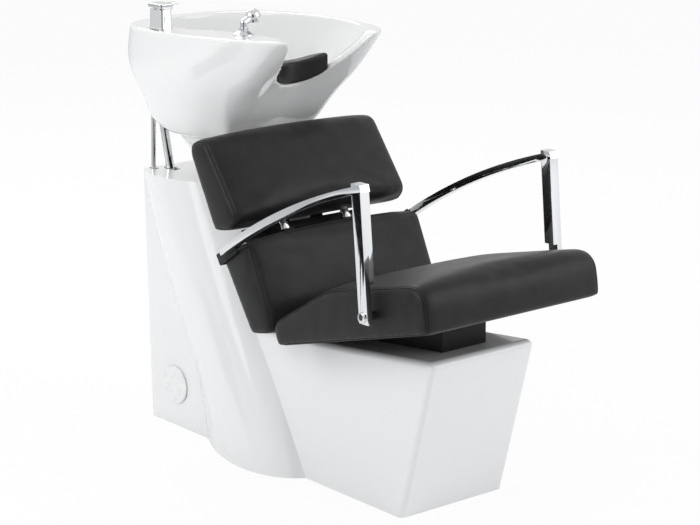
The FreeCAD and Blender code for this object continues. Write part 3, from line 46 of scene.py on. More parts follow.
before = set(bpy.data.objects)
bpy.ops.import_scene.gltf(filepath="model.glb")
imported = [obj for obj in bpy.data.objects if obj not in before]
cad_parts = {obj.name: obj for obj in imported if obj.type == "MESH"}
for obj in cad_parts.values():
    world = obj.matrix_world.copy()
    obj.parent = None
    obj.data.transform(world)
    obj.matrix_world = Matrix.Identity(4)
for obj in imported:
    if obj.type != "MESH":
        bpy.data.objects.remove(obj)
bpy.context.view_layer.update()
MM = 0.001

# Sitter's right is at -X
SIDES = (-1.0, 1.0)


# Settings that a user would change
class StageSettings(bpy.types.PropertyGroup):
    lens: bpy.props.FloatProperty(
        name="Lens", description="Focal length of the camera, in millimetres on a 36 mm sensor",
        default=112.73)
    eye: bpy.props.FloatVectorProperty(
        name="Camera place", description="Where the camera stands", default=(-3.1199, -3.8836, 1.7372),
        subtype="TRANSLATION", unit="LENGTH")
    azimuth: bpy.props.FloatProperty(
        name="Camera azimuth", description="Turn of the camera about the upright axis",
        default=math.radians(-39.595), subtype="ANGLE", unit="ROTATION")
    elevation: bpy.props.FloatProperty(
        name="Camera elevation", description="Height angle of the camera above the horizon",
        default=math.radians(14.353), subtype="ANGLE", unit="ROTATION")
    ambient: bpy.props.FloatProperty(
        name="Room light", description="Strength of the even light from all round", default=0.60, min=0.0)
    floor_size: bpy.props.FloatProperty(
        name="Floor size", description="Side of the pale floor", default=60.0, unit="LENGTH")


class FinishSettings(bpy.types.PropertyGroup):
    shell_colour: bpy.props.FloatVectorProperty(
        name="Shell colour", description="Gloss white of the moulded base", default=(0.86, 0.86, 0.86),
        subtype="COLOR", min=0.0, max=1.0)
    glaze_colour: bpy.props.FloatVectorProperty(
        name="Glaze colour", description="White glaze of the ceramic basin", default=(0.88, 0.88, 0.875),
        subtype="COLOR", min=0.0, max=1.0)
    leather_colour: bpy.props.FloatVectorProperty(
        name="Leatherette colour", description="Black coated cloth of the pads",
        default=(0.011, 0.011, 0.0115), subtype="COLOR", min=0.0, max=1.0)
    grain_size: bpy.props.FloatProperty(
        name="Grain size", description="Width of one cell of the leatherette's grain", default=1.3 * MM,
        unit="LENGTH")
    gel_colour: bpy.props.FloatVectorProperty(
        name="Gel colour", description="Black gel of the neck rest", default=(0.010, 0.010, 0.011),
        subtype="COLOR", min=0.0, max=1.0)
    chrome_colour: bpy.props.FloatVectorProperty(
        name="Chrome colour", description="Tint of the chrome plating", default=(0.78, 0.79, 0.80),
        subtype="COLOR", min=0.0, max=1.0)


class CastSettings(bpy.types.PropertyGroup):
    glaze_voxel: bpy.props.FloatProperty(
        name="Glaze mesh size", description="Size of a face of the glazed basin", default=4.0 * MM,
        unit="LENGTH")
    glaze_passes: bpy.props.IntProperty(
        name="Glaze softness", description="Passes that round the basin's edges under the glaze", default=8,
        min=0)
    gel_voxel: bpy.props.FloatProperty(
        name="Gel mesh size", description="Size of a face of the gel neck rest", default=2.0 * MM,
        unit="LENGTH")
    gel_passes: bpy.props.IntProperty(
        name="Gel softness", description="Passes that round the neck rest's edges", default=22, min=0)
    arm_rounding: bpy.props.FloatProperty(
        name="Arm rounding", description="Radius of the arms' edges", default=5.0 * MM, unit="LENGTH")
    fitting_rounding: bpy.props.FloatProperty(
        name="Fitting rounding", description="Radius of the edges of the mixer", default=1.6 * MM,
        unit="LENGTH")
    steel_rounding: bpy.props.FloatProperty(
        name="Steel rounding", description="Radius of the edges of bent and cut steel", default=0.8 * MM,
        unit="LENGTH")
    seam_rounding: bpy.props.FloatProperty(
        name="Seam rounding", description="Radius of the edges of the column's cover and its cap",
        default=1.6 * MM, unit="LENGTH")
    # Radius of the painted shade, a black hexagon, on each front arm bolt's end
    socket_shade_radius: bpy.props.FloatProperty(
        name="Socket radius", description="Corner radius of the hexagonal socket in an arm's bolt",
        default=6.4 * MM, unit="LENGTH")


class PadSettings(bpy.types.PropertyGroup):
    voxel: bpy.props.FloatProperty(
        name="Mesh size", description="Size of a face of a pad before it is puffed up", default=6.0 * MM,
        unit="LENGTH")
    pressure: bpy.props.FloatProperty(
        name="Filling pressure", description="Pressure of the foam on the cover", default=2.6, min=0.0)
    swell_limit: bpy.props.FloatProperty(
        name="Swell limit", description="Farthest that a point of the cover may move", default=8.0 * MM,
        unit="LENGTH")
    start_inset: bpy.props.FloatProperty(
        name="Start inset", description="How much smaller a pad starts before it is puffed up",
        default=1.5 * MM, unit="LENGTH")
    piping_radius: bpy.props.FloatProperty(
        name="Piping radius", description="Radius of the welt along the seams", default=1.35 * MM,
        unit="LENGTH")
    seam_depth: bpy.props.FloatProperty(
        name="Seam depth", description="How far a seam draws the cover in", default=2.2 * MM, unit="LENGTH")
    seam_width: bpy.props.FloatProperty(
        name="Seam width", description="Half width of the groove that a seam draws in", default=9.0 * MM,
        unit="LENGTH")
    smoothing: bpy.props.IntProperty(
        name="Smoothing", description="Passes that even out the cover after it is puffed up", default=22,
        min=0)
    stitch_pitch: bpy.props.FloatProperty(
        name="Stitch pitch", description="Run from one stitch to the next", default=5.0 * MM, unit="LENGTH")
    stitch_length: bpy.props.FloatProperty(
        name="Stitch length", description="Length of one stitch", default=3.4 * MM, unit="LENGTH")
    stitch_radius: bpy.props.FloatProperty(
        name="Thread radius", description="Radius of the thread", default=0.42 * MM, unit="LENGTH")
    stitch_inset: bpy.props.FloatProperty(
        name="Stitch inset", description="How far the row of stitches lies from the piping",
        default=7.0 * MM, unit="LENGTH")


# Node helpers for the finishes
class Tree:
    """Short hand for building a material's nodes."""

    def __init__(self, name):
        self.material = bpy.data.materials.new(name)
        self.material.use_nodes = True
        self.nodes = self.material.node_tree.nodes
        self.links = self.material.node_tree.links
        self.shader = self.nodes["Principled BSDF"]
        place = self.nodes.new("ShaderNodeTexCoord")
        self.place = place.outputs["Object"]

    def add(self, kind, inputs=None, **settings):
        node = self.nodes.new(kind)
        for key, value in settings.items():
            setattr(node, key, value)
        for key, value in (inputs or {}).items():
            self.give(node.inputs[key], value)
        return node

    def give(self, socket, value):
        if isinstance(value, bpy.types.NodeSocket):
            self.links.new(value, socket)
        elif isinstance(value, (tuple, list)) and len(value) == 3 and socket.type == "RGBA":
            socket.default_value = (*value, 1.0)
        else:
            socket.default_value = value

    def set(self, **inputs):
        for key, value in inputs.items():
            self.give(self.shader.inputs[key.replace("_", " ")], value)

    def noise(self, scale, detail=3.0, stretch=None):
        vector = self.place
        if stretch:
            mapping = self.add("ShaderNodeMapping", {"Vector": self.place, "Scale": stretch})
            vector = mapping.outputs["Vector"]
        node = self.add("ShaderNodeTexNoise", {"Vector": vector, "Scale": scale, "Detail": detail})
        return node.outputs["Fac"]

    def cells(self, scale, feature="F1"):
        node = self.add("ShaderNodeTexVoronoi", {"Vector": self.place, "Scale": scale}, feature=feature)
        return node.outputs["Distance"]

    def spread(self, value, low, high, start=0.0, end=1.0):
        node = self.add("ShaderNodeMapRange", {"Value": value, "From Min": start, "From Max": end,
                                               "To Min": low, "To Max": high})
        return node.outputs["Result"]

    def mix(self, factor, first, second):
        node = self.add("ShaderNodeMix", data_type="RGBA")
        self.give(node.inputs["Factor"], factor)
        self.give(node.inputs["A"], first)
        self.give(node.inputs["B"], second)
        return node.outputs["Result"]

    def bump(self, height, distance, under=None):
        inputs = {"Height": height, "Distance": distance, "Strength": 1.0}
        if under is not None:
            inputs["Normal"] = under
        return self.add("ShaderNodeBump", inputs).outputs["Normal"]

    def edge_wear(self):
        """How far an edge stands out, from the mesh's pointiness."""
        return self.add("ShaderNodeNewGeometry").outputs["Pointiness"]


def shades(colour, low, high):
    """A darker and a lighter shade of a colour."""
    return tuple(c * low for c in colour), tuple(c * high for c in colour)


# Finishes
def gloss_white(name, colour, ripple, roughness):
    """Moulded or glazed white with a faint ripple under its gloss."""
    tree = Tree(name)
    dark, light = shades(colour, 0.975, 1.0)
    clouds, smears, waves = tree.noise(scale=3.0), tree.noise(scale=9.0), tree.noise(scale=16.0, detail=2.0)
    tree.set(Base_Color=tree.mix(clouds, dark, light),
             Roughness=tree.spread(smears, low=roughness * 0.8, high=roughness * 1.3),
             Coat_Weight=0.5, Coat_Roughness=0.04, IOR=1.5, Normal=tree.bump(waves, distance=ripple))
    return tree.material


def shell_gloss(finish):
    return gloss_white("gloss_moulding", finish.shell_colour, ripple=0.35 * MM, roughness=0.22)


def glaze(finish):
    return gloss_white("basin_glaze", finish.glaze_colour, ripple=0.22 * MM, roughness=0.10)


def leatherette(finish):
    """Coated cloth: patchy black, slack in long soft folds, with cells and pores in its skin."""
    tree = Tree("black_leatherette")
    dark, light = shades(finish.leather_colour, 0.75, 1.45)
    patches = tree.spread(tree.noise(scale=22.0, detail=4.0), low=0.0, high=1.0, start=0.3, end=0.7)
    folds = tree.noise(scale=9.0, detail=2.0, stretch=(0.6, 1.0, 1.0))
    grain = tree.cells(1.0 / finish.grain_size, "SMOOTH_F1")
    pores = tree.noise(scale=2.4 / finish.grain_size, detail=2.0)
    slack = tree.bump(folds, distance=1.2 * MM)
    skin = tree.bump(grain, distance=0.12 * MM, under=slack)
    tree.set(Base_Color=tree.mix(patches, dark, light),
             Roughness=tree.spread(tree.noise(scale=31.0), low=0.34, high=0.48),
             Normal=tree.bump(pores, distance=0.05 * MM, under=skin), Specular_IOR_Level=0.24,
             Sheen_Weight=0.05, Sheen_Roughness=0.4)
    return tree.material


def thread(finish):
    """Twisted thread, dyed like the cloth that it holds."""
    tree = Tree("black_thread")
    dark, light = shades(finish.leather_colour, 0.8, 1.5)
    twist = tree.add("ShaderNodeTexWave", {"Vector": tree.place, "Scale": 900.0, "Distortion": 2.0})
    tree.set(Base_Color=tree.mix(tree.noise(scale=300.0), dark, light), Roughness=0.62,
             Normal=tree.bump(twist.outputs["Fac"], distance=0.08 * MM))
    return tree.material


def gel(finish):
    """Matt moulded gel with a fine skin."""
    tree = Tree("black_gel")
    dark, light = shades(finish.gel_colour, 0.8, 1.6)
    skin = tree.noise(scale=650.0, detail=2.0)
    tree.set(Base_Color=tree.mix(tree.noise(scale=40.0), dark, light), Specular_IOR_Level=0.35,
             Roughness=tree.spread(tree.noise(scale=70.0, detail=4.0), low=0.38, high=0.52),
             Normal=tree.bump(skin, distance=0.05 * MM))
    return tree.material


def chrome(name, finish, low=0.05, high=0.13):
    """Chrome plating with faint smears, between a low and a high roughness."""
    tree = Tree(name)
    dark, light = shades(finish.chrome_colour, 0.94, 1.0)
    smear = tree.noise(scale=26.0, detail=5.0, stretch=(1.0, 1.0, 0.4))
    tree.set(Base_Color=tree.mix(smear, dark, light), Metallic=1.0,
             Roughness=tree.spread(smear, low, high, start=0.3, end=0.7),
             Normal=tree.bump(tree.noise(scale=45.0, detail=2.0), distance=0.03 * MM))
    return tree.material


def painted_steel(name, colour, roughness):
    """Powder-coated steel with a fine orange peel and lighter edges."""
    tree = Tree(name)
    dark, light = shades(colour, 0.8, 1.3)
    bare = tuple(min(1.0, c * 3.0 + 0.05) for c in dark)
    paint = tree.mix(tree.noise(scale=35.0, detail=4.0), dark, light)
    worn = tree.spread(tree.edge_wear(), low=0.0, high=0.5, start=0.52, end=0.62)
    peel = tree.noise(scale=1100.0, detail=2.0)
    tree.set(Base_Color=tree.mix(worn, paint, bare), Specular_IOR_Level=0.22,
             Roughness=tree.spread(tree.noise(scale=60.0), low=roughness - 0.07, high=roughness + 0.1),
             Normal=tree.bump(peel, distance=0.08 * MM))
    return tree.material


def bare_metal(name, colour, roughness):
    """Zinc plating, brass and the like: mottled and brushed."""
    tree = Tree(name)
    dark, light = shades(colour, 0.78, 1.0)
    brushed = tree.noise(scale=900.0, detail=2.0, stretch=(1.0, 1.0, 0.1))
    tree.set(Base_Color=tree.mix(tree.cells(420.0), dark, light), Metallic=1.0,
             Roughness=tree.spread(tree.noise(scale=160.0, detail=4.0), low=roughness * 0.75,
                                   high=roughness * 1.3),
             Normal=tree.bump(brushed, distance=0.03 * MM))
    return tree.material


def plastic(name, colour, roughness):
    """Moulded plastic or rubber with an even, slightly grained skin."""
    tree = Tree(name)
    dark, light = shades(colour, 0.85, 1.1)
    tree.set(Base_Color=tree.mix(tree.noise(scale=50.0), dark, light),
             Roughness=tree.spread(tree.noise(scale=120.0), low=roughness - 0.06, high=roughness + 0.08),
             Normal=tree.bump(tree.noise(scale=1500.0, detail=2.0), distance=0.04 * MM))
    return tree.material


def plywood():
    """Board stained black, with its plies showing as darker lines."""
    tree = Tree("stained_board")
    rings = tree.add("ShaderNodeTexWave", {"Vector": tree.place, "Scale": 28.0, "Distortion": 9.0,
                                           "Detail": 4.0, "Detail Scale": 2.0}, bands_direction="X")
    fibre = tree.noise(scale=240.0, detail=4.0, stretch=(1.0, 0.06, 1.0))
    early, late, stain = (0.010, 0.008, 0.007), (0.020, 0.016, 0.013), (0.006, 0.005, 0.0045)
    colour = tree.mix(rings.outputs["Fac"], early, late)
    tree.set(Base_Color=tree.mix(tree.spread(fibre, low=0.0, high=0.6), colour, stain),
             Specular_IOR_Level=0.25, Roughness=tree.spread(fibre, low=0.5, high=0.7),
             Normal=tree.bump(fibre, distance=0.25 * MM))
    return tree.material


def make_finishes(finish):
    """Finish of every material slot in the record, and of the thread."""
    return {
        "white_shell": shell_gloss(finish),
        "white_cap": plastic("cap_plastic", (0.86, 0.86, 0.855), roughness=0.28),
        "frame_steel": painted_steel("grey_primer", (0.16, 0.165, 0.17), roughness=0.5),
        "black_steel": painted_steel("black_powder_coat", (0.004, 0.004, 0.0042), roughness=0.55),
        "zinc_steel": bare_metal("zinc_plating", (0.62, 0.63, 0.65), roughness=0.34),
        "bush_brass": bare_metal("bush_bronze", (0.62, 0.42, 0.20), roughness=0.38),
        "tube_chrome": chrome("tube_plating", finish),
        "sleeve_rubber": plastic("rubber", (0.02, 0.02, 0.02), roughness=0.6),
        "basin_ceramic": glaze(finish),
        "gel_black": gel(finish),
        "fitting_chrome": chrome("fitting_plating", finish, low=0.04, high=0.10),
        "shower_chrome": chrome("shower_plating", finish, low=0.05, high=0.12),
        "nut_plastic": plastic("nut_plastic", (0.55, 0.55, 0.53), roughness=0.5),
        "nut_brass": bare_metal("nut_brass", (0.72, 0.55, 0.25), roughness=0.30),
        "black_leatherette": leatherette(finish),
        "core_wood": plywood(),
        "arm_chrome": chrome("arm_plating", finish, low=0.03, high=0.09),
        "plug_plastic": plastic("plug_plastic", (0.015, 0.015, 0.016), roughness=0.42),
        "thread": thread(finish),
    }


FINISHES = {}


# Mesh helpers
# Points of a mesh that lie closer than this are one
MERGE_REACH = 0.004 * MM
# Faces of a solid that turn by less than this are one flat face
FLAT_ANGLE = math.radians(0.6)
# Edges that turn by more than this stay sharp in the shading
SHARP_ANGLE = math.radians(40.0)
# Bend, in degrees, past which an edge is rounded off: on metal, and along the seams of the cover
METAL_BEND, SEAM_BEND = 28.0, 40.0
# Share of the way to its neighbours that one pass moves a point
PASS_SHARE = 0.5


@contextlib.contextmanager
def edited(mesh):
    """Opens a mesh for editing and writes it back afterwards."""
    shape = bmesh.new()
    shape.from_mesh(mesh)
    yield shape
    shape.to_mesh(mesh)
    shape.free()


def placed(name, data):
    """New object for a mesh, curve, lamp or camera, at the origin of the scene."""
    piece = bpy.data.objects.new(name, data)
    bpy.context.scene.collection.objects.link(piece)
    return piece


def finished(piece, slot, body="base", node=None, finish=None):
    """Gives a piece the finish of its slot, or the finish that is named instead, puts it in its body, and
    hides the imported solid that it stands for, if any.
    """
    piece.data.materials.clear()
    piece.data.materials.append(FINISHES[finish or slot])
    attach(piece, body)
    if node:
        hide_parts(node)


def mesh_of(name, points, faces):
    mesh = bpy.data.meshes.new(name)
    mesh.from_pydata([tuple(p) for p in points], [], faces)
    mesh.update()
    return mesh


def merged_copy(node, name):
    """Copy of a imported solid's mesh with its loose triangles merged."""
    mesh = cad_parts[node].data.copy()
    mesh.name = name
    with edited(mesh) as shape:
        bmesh.ops.remove_doubles(shape, verts=shape.verts, dist=MERGE_REACH)
    return mesh


def applied(piece):
    """Mesh of a piece with its modifiers applied; the modifiers are gone afterwards."""
    graph = bpy.context.evaluated_depsgraph_get()
    graph.update()
    mesh = bpy.data.meshes.new_from_object(piece.evaluated_get(graph), depsgraph=graph)
    piece.modifiers.clear()
    old = piece.data
    piece.data = mesh
    mesh.name = old.name
    bpy.data.meshes.remove(old)
    return mesh


def smooth(mesh, angle=None):
    for face in mesh.polygons:
        face.use_smooth = True
    if angle is not None:
        mesh.set_sharp_from_angle(angle=angle)


def softened(node, name, width, body, slot, segments=3, bend=METAL_BEND):
    """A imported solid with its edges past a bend, in degrees, rounded off, in place of the solid."""
    mesh = merged_copy(node, name)
    with edited(mesh) as shape:
        bmesh.ops.dissolve_limit(shape, angle_limit=FLAT_ANGLE, verts=shape.verts, edges=shape.edges)
    piece = placed(name, mesh)
    bevel = piece.modifiers.new("rounding", "BEVEL")
    bevel.width = width
    bevel.segments = segments
    bevel.limit_method = "ANGLE"
    bevel.angle_limit = math.radians(bend)
    smooth(applied(piece), SHARP_ANGLE)
    finished(piece, slot, body, node)


def remeshed(piece, voxel):
    """Gives a piece's closed skin even faces of one size."""
    remesh = piece.modifiers.new("even faces", "REMESH")
    remesh.mode = "VOXEL"
    remesh.voxel_size = voxel
    return applied(piece)


def evened(piece, passes, group=""):
    """Evens out a mesh by passes that move each point towards its neighbours, in one group or all over."""
    modifier = piece.modifiers.new("evening", "SMOOTH")
    modifier.factor = PASS_SHARE
    modifier.iterations = passes
    modifier.vertex_group = group
    applied(piece)


def outer_skin(mesh):
    """Keeps the largest connected skin of a mesh and drops closed voids inside it."""
    with edited(mesh) as shape:
        left, skins = set(shape.verts), []
        while left:
            reached, front = set(), [left.pop()]
            while front:
                vertex = front.pop()
                reached.add(vertex)
                for edge in vertex.link_edges:
                    other = edge.other_vert(vertex)
                    if other in left:
                        left.discard(other)
                        front.append(other)
            skins.append(reached)
        skins.sort(key=len)
        spare = [vertex for skin in skins[:-1] for vertex in skin]
        bmesh.ops.delete(shape, geom=spare, context="VERTS")


def blended(piece, centre, reach, passes):
    """Evens out a mesh near one place, with more strength towards its centre."""
    group = piece.vertex_groups.new(name="blend")
    for vertex in piece.data.vertices:
        away = vertex.co - centre
        far = math.sqrt(sum((away[k] / reach[k]) ** 2 for k in range(3)))
        if far < 1.0:
            group.add([vertex.index], (1.0 - far * far) ** 2, "REPLACE")
    evened(piece, passes, group.name)
    piece.vertex_groups.clear()


def cast(node, name, voxel, passes, body, slot, blends=()):
    """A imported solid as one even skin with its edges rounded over, in place of the solid."""
    piece = placed(name, merged_copy(node, name))
    outer_skin(remeshed(piece, voxel))
    evened(piece, passes)
    for centre, reach, times in blends:
        blended(piece, Vector(centre), reach, times)
    smooth(piece.data)
    finished(piece, slot, body, node)


# Upholstery
# Steps round one corner of a pad's outline, and round one corner of its seams
CORNER_STEPS, SEAM_STEPS = 8, 10
# Share of the half width at which the side seams lie
SEAM_SHARE = 0.982
# Parts of a face's size: a cover is held this near its board and this near its seams, and a seam is looked
# for this far from its plane
BOARD_REACH, SEAM_REACH, SEARCH_REACH = 0.6, 1.2, 2.0
# How firmly a cover is held along its board and along its seams
BOARD_GRIP, SEAM_GRIP = 1.0, 0.9
# Parts of a seam's width: how far its groove is looked for, and how fast it fades
GROOVE_SEARCH, GROOVE_FADE = 2.0, 0.5
# Parts of their own radius by which piping and thread stand off the cover
PIPING_LIFT, THREAD_LIFT = 0.35, 0.3
# Least cosine of half a turn by which a mitre grows
MITRE_FLOOR = 0.5
# Angle, squared length and move that count as none
NO_ANGLE, NO_SQUARE, NO_MOVE = 1e-5, 1e-12, 1e-9
# Gap taken for a point that lies far from every seam
FAR_OFF = 1.0
PUFF_FRAMES = 20
CLOTH = {"quality": 4, "mass": 0.25, "tension_stiffness": 12.0, "compression_stiffness": 12.0,
         "shear_stiffness": 6.0, "bending_stiffness": 4.0, "use_pressure": True, "shrink_min": 0.0,
         "vertex_group_mass": "held"}
STITCH_SIDES = 6
# Steps round a quarter of the piping
PIPING_STEPS = 3


class Pad:
    """One pad: its tilted frame in the side view, and its outline as shares of its length and thickness.

    It starts at y and z and runs forwards or upwards at its lean, in degrees. Each corner is a run and a
    rise, which its crown adds to at the middle of the width. Lengths are given in millimetres.
    """

    half_width = 257.0 * MM
    # Across the width: share of the half width, share of the crown, share of the side's draw
    stations = ((1.0, 0.0, 1.0), (SEAM_SHARE, 0.0, 0.25), (0.93, 0.22, 0.0), (0.70, 0.75, 0.0),
                (0.35, 0.95, 0.0), (0.0, 1.0, 0.0))
    side_draw = 7.0 * MM

    def __init__(self, name, y, z, lean, forward, length, thickness, corners, crowns, radii):
        self.name = name
        self.origin = Vector((0.0, y * MM, z * MM))
        turn = math.radians(lean)
        if forward:
            self.along = Vector((0.0, -math.cos(turn), math.sin(turn)))
            self.out = Vector((0.0, math.sin(turn), math.cos(turn)))
        else:
            self.along = Vector((0.0, math.sin(turn), math.cos(turn)))
            self.out = Vector((0.0, -math.cos(turn), math.sin(turn)))
        self.length, self.thickness = length * MM, thickness * MM
        self.corners, self.crowns = corners, crowns
        self.radii = [r * MM for r in radii]

    def at(self, x, run, rise):
        return Vector((x, 0.0, 0.0)) + self.origin + self.along * run + self.out * rise

    def crown(self, share):
        """Crown and side draw at a share of the half width."""
        share = abs(share)
        for (s1, c1, d1), (s0, c0, d0) in zip(self.stations, self.stations[1:]):
            if share >= s0:
                t = (share - s0) / (s1 - s0)
                return c0 + (c1 - c0) * t, d0 + (d1 - d0) * t
        return 1.0, 0.0

    def corner_places(self, share, inset):
        """Corners of the outline at a share of the half width, inset from their places."""
        crown, draw = self.crown(share)
        points = [((run + dr * crown) * self.length, (rise + ds * crown) * self.thickness)
                  for (run, rise), (dr, ds) in zip(self.corners, self.crowns)]
        moved = inset_loop(points, inset + self.side_draw * draw)
        return [(run, max(rise, 0.0) if old_rise > 0 else 0.0)
                for (run, rise), (_, old_rise) in zip(moved, points)]

    def ring(self, share, inset, x, steps=CORNER_STEPS):
        """Closed outline at one place across the width, with round corners."""
        corners = self.corner_places(share, inset)
        count = len(corners)
        ring = []
        for i, (run, rise) in enumerate(corners):
            here = Vector((run, rise))
            back = (Vector(corners[i - 1]) - here).normalized()
            ahead = (Vector(corners[(i + 1) % count]) - here).normalized()
            half = back.angle(ahead) / 2.0
            reach = self.radii[i] / math.tan(half)
            centre = here + (back + ahead).normalized() * (self.radii[i] / math.sin(half))
            first, last = here + back * reach - centre, here + ahead * reach - centre
            sweep = first.angle(last)
            for k in range(steps + 1):
                t = k / steps
                spoke = first
                if sweep > NO_ANGLE:
                    near, far = math.sin((1 - t) * sweep), math.sin(t * sweep)
                    spoke = (first * near + last * far) / math.sin(sweep)
                ring.append(centre + spoke)
        return [self.at(x, p.x, p.y) for p in ring]


def inset_loop(points, distance):
    """Closed outline moved inwards by a distance, mitred at its corners."""
    count = len(points)
    area = sum(points[i][0] * points[(i + 1) % count][1] - points[(i + 1) % count][0] * points[i][1]
               for i in range(count))
    turn = 1.0 if area > 0 else -1.0
    moved = []
    for i in range(count):
        normals = []
        for start, end in ((points[i - 1], points[i]), (points[i], points[(i + 1) % count])):
            run = Vector((end[0] - start[0], end[1] - start[1])).normalized()
            normals.append(Vector((-run.y, run.x)) * turn)
        both = normals[0] + normals[1]
        mitre = distance / max(both.length / 2.0, MITRE_FLOOR)
        moved.append(tuple(Vector(points[i]) + both.normalized() * mitre))
    return moved


PADS = (
    Pad("seat_pad", y=-158.0, z=340.7, lean=15.2, forward=True, length=541.0, thickness=118.0,
        corners=((0.0, 0.0), (-0.012, 0.46), (0.40, 1.0), (1.0, 0.905), (0.98, 0.0)),
        crowns=((0.0, 0.0), (0.0, 0.13), (0.0, 0.07), (0.015, 0.08), (0.006, 0.0)),
        radii=(10.0, 24.0, 200.0, 44.0, 10.0)),
    Pad("lower_back_pad", y=-65.7, z=347.2, lean=33.8, forward=False, length=207.0, thickness=118.0,
        corners=((0.0, 0.0), (1.0, 0.0), (0.90, 1.0), (0.14, 0.79), (-0.145, 0.62)),
        crowns=((0.0, 0.0), (0.0, 0.0), (0.02, 0.17), (0.0, 0.22), (-0.01, 0.06)),
        radii=(8.0, 10.0, 16.0, 60.0, 18.0)),
    Pad("upper_back_pad", y=69.8, z=561.2, lean=28.5, forward=False, length=222.0, thickness=100.0,
        corners=((0.0, 0.0), (1.0, 0.0), (0.925, 0.70), (-0.02, 1.03), (-0.09, 0.62)),
        crowns=((0.0, 0.0), (0.0, 0.0), (0.0, 0.26), (0.0, 0.29), (0.045, 0.0)),
        radii=(10.0, 24.0, 30.0, 24.0, 14.0)),
)
PAD_NODES = {"seat_pad": "seat_cushion", "lower_back_pad": "lower_back_cushion",
             "upper_back_pad": "upper_back_cushion"}
PAD_MERGE = 0.01 * MM


def pad_start(pad, inset, voxel):
    """Closed shell a little smaller than the pad, in even small faces."""
    half = [share for share, _, _ in pad.stations[:-1]]
    shares = [-share for share in half] + [0.0] + half[::-1]
    rings = [pad.ring(share, inset, share * (pad.half_width - inset)) for share in shares]
    count = len(rings[0])
    points = [p for ring in rings for p in ring]
    faces = []
    for r in range(len(rings) - 1):
        for k in range(count):
            a, b = r * count + k, r * count + (k + 1) % count
            faces.append((a, b, b + count, a + count))
    faces.append(tuple(range(count)))
    faces.append(tuple(reversed(range((len(rings) - 1) * count, len(rings) * count))))
    mesh = mesh_of(pad.name, points, faces)
    with edited(mesh) as shape:
        bmesh.ops.remove_doubles(shape, verts=shape.verts, dist=PAD_MERGE)
        bmesh.ops.recalc_face_normals(shape, faces=shape.faces)
    piece = placed(pad.name, mesh)
    remeshed(piece, voxel)
    return piece


def seam_ring(pad, side, inset):
    """Closed line of one side seam."""
    return pad.ring(SEAM_SHARE, inset, side * SEAM_SHARE * (pad.half_width - inset), steps=SEAM_STEPS)


def nearest_on_ring(ring):
    """Function that gives the distance from a point to a closed ring of points."""
    count = len(ring)
    runs = [(ring[k], ring[(k + 1) % count] - ring[k]) for k in range(count)]
    runs = [(start, run, run.length_squared) for start, run in runs if run.length_squared > NO_SQUARE]

    def distance(point):
        best = math.inf
        for start, run, size in runs:
            t = max(0.0, min(1.0, (point - start).dot(run) / size))
            best = min(best, (point - start - run * t).length_squared)
        return math.sqrt(best)
    return distance


def puff(piece, held, settings):
    """Swells a closed cover with cloth under pressure; held points stay, others move up to a limit."""
    scene = bpy.context.scene
    mesh = piece.data
    rest = [v.co.copy() for v in mesh.vertices]
    group = piece.vertex_groups.new(name="held")
    for index, weight in held:
        group.add([index], weight, "REPLACE")
    cloth = piece.modifiers.new("puff", "CLOTH")
    for key, value in CLOTH.items():
        setattr(cloth.settings, key, value)
    cloth.settings.uniform_pressure_force = settings.pressure
    cloth.settings.effector_weights.gravity = 0.0
    cloth.collision_settings.use_collision = False
    scene.frame_start, scene.frame_end = 1, PUFF_FRAMES
    for number in range(1, PUFF_FRAMES + 1):
        scene.frame_set(number)
    graph = bpy.context.evaluated_depsgraph_get()
    swollen = piece.evaluated_get(graph).data
    moved = [v.co.copy() for v in swollen.vertices]
    piece.modifiers.clear()
    piece.vertex_groups.clear()
    scene.frame_set(1)
    limit = settings.swell_limit
    for vertex, start, end in zip(mesh.vertices, rest, moved):
        way = end - start
        if way.length > NO_MOVE:
            vertex.co = start + way.normalized() * (limit * math.tanh(way.length / limit))


def subdivided(piece):
    """Splits each face of a piece once, along a smooth surface."""
    modifier = piece.modifiers.new("subdivision", "SUBSURF")
    modifier.levels = modifier.render_levels = 1
    return applied(piece)


def upholster(pad, settings):
    """Puffs a pad up between its seams, then draws the seams in."""
    inset, voxel, width = settings.start_inset, settings.voxel, settings.seam_width
    piece = pad_start(pad, inset, voxel)
    far_right, far_left = [nearest_on_ring(seam_ring(pad, side, inset)) for side in SIDES]
    seam_x = SEAM_SHARE * (pad.half_width - inset)

    def gap_to_seam(point, search):
        if abs(abs(point.x) - seam_x) >= search:
            return FAR_OFF
        return far_right(point) if point.x < 0 else far_left(point)

    held = []
    for vertex in piece.data.vertices:
        if (vertex.co - pad.origin).dot(pad.out) < BOARD_REACH * voxel:
            held.append((vertex.index, BOARD_GRIP))
        elif gap_to_seam(vertex.co, SEARCH_REACH * voxel) < SEAM_REACH * voxel:
            held.append((vertex.index, SEAM_GRIP))
    puff(piece, held, settings)
    evened(piece, settings.smoothing)
    mesh = subdivided(piece)
    with edited(mesh) as shape:
        shape.normal_update()
        for vertex in shape.verts:
            gap = gap_to_seam(vertex.co, GROOVE_SEARCH * width)
            if gap < FAR_OFF:
                fade = math.exp(-(gap / (GROOVE_FADE * width)) ** 2)
                vertex.co -= vertex.normal * settings.seam_depth * fade
    smooth(mesh)
    return piece


def cover_tree(piece):
    """Search tree over a finished cover."""
    mesh = piece.data
    return BVHTree.FromPolygons([v.co for v in mesh.vertices], [tuple(p.vertices) for p in mesh.polygons])


def laid_on(cover, ring, shift, lift, run):
    """Ring of points pressed on to a cover, moved sideways by a shift and lifted off it a little."""
    laid = []
    for start, end in zip(ring, ring[1:] + ring[:1]):
        steps = max(1, int((end - start).length / run))
        for k in range(steps):
            spot = start.lerp(end, k / steps) + Vector((shift, 0.0, 0.0))
            place, normal, _, _ = cover.find_nearest(spot)
            laid.append(place + normal * lift)
    return laid


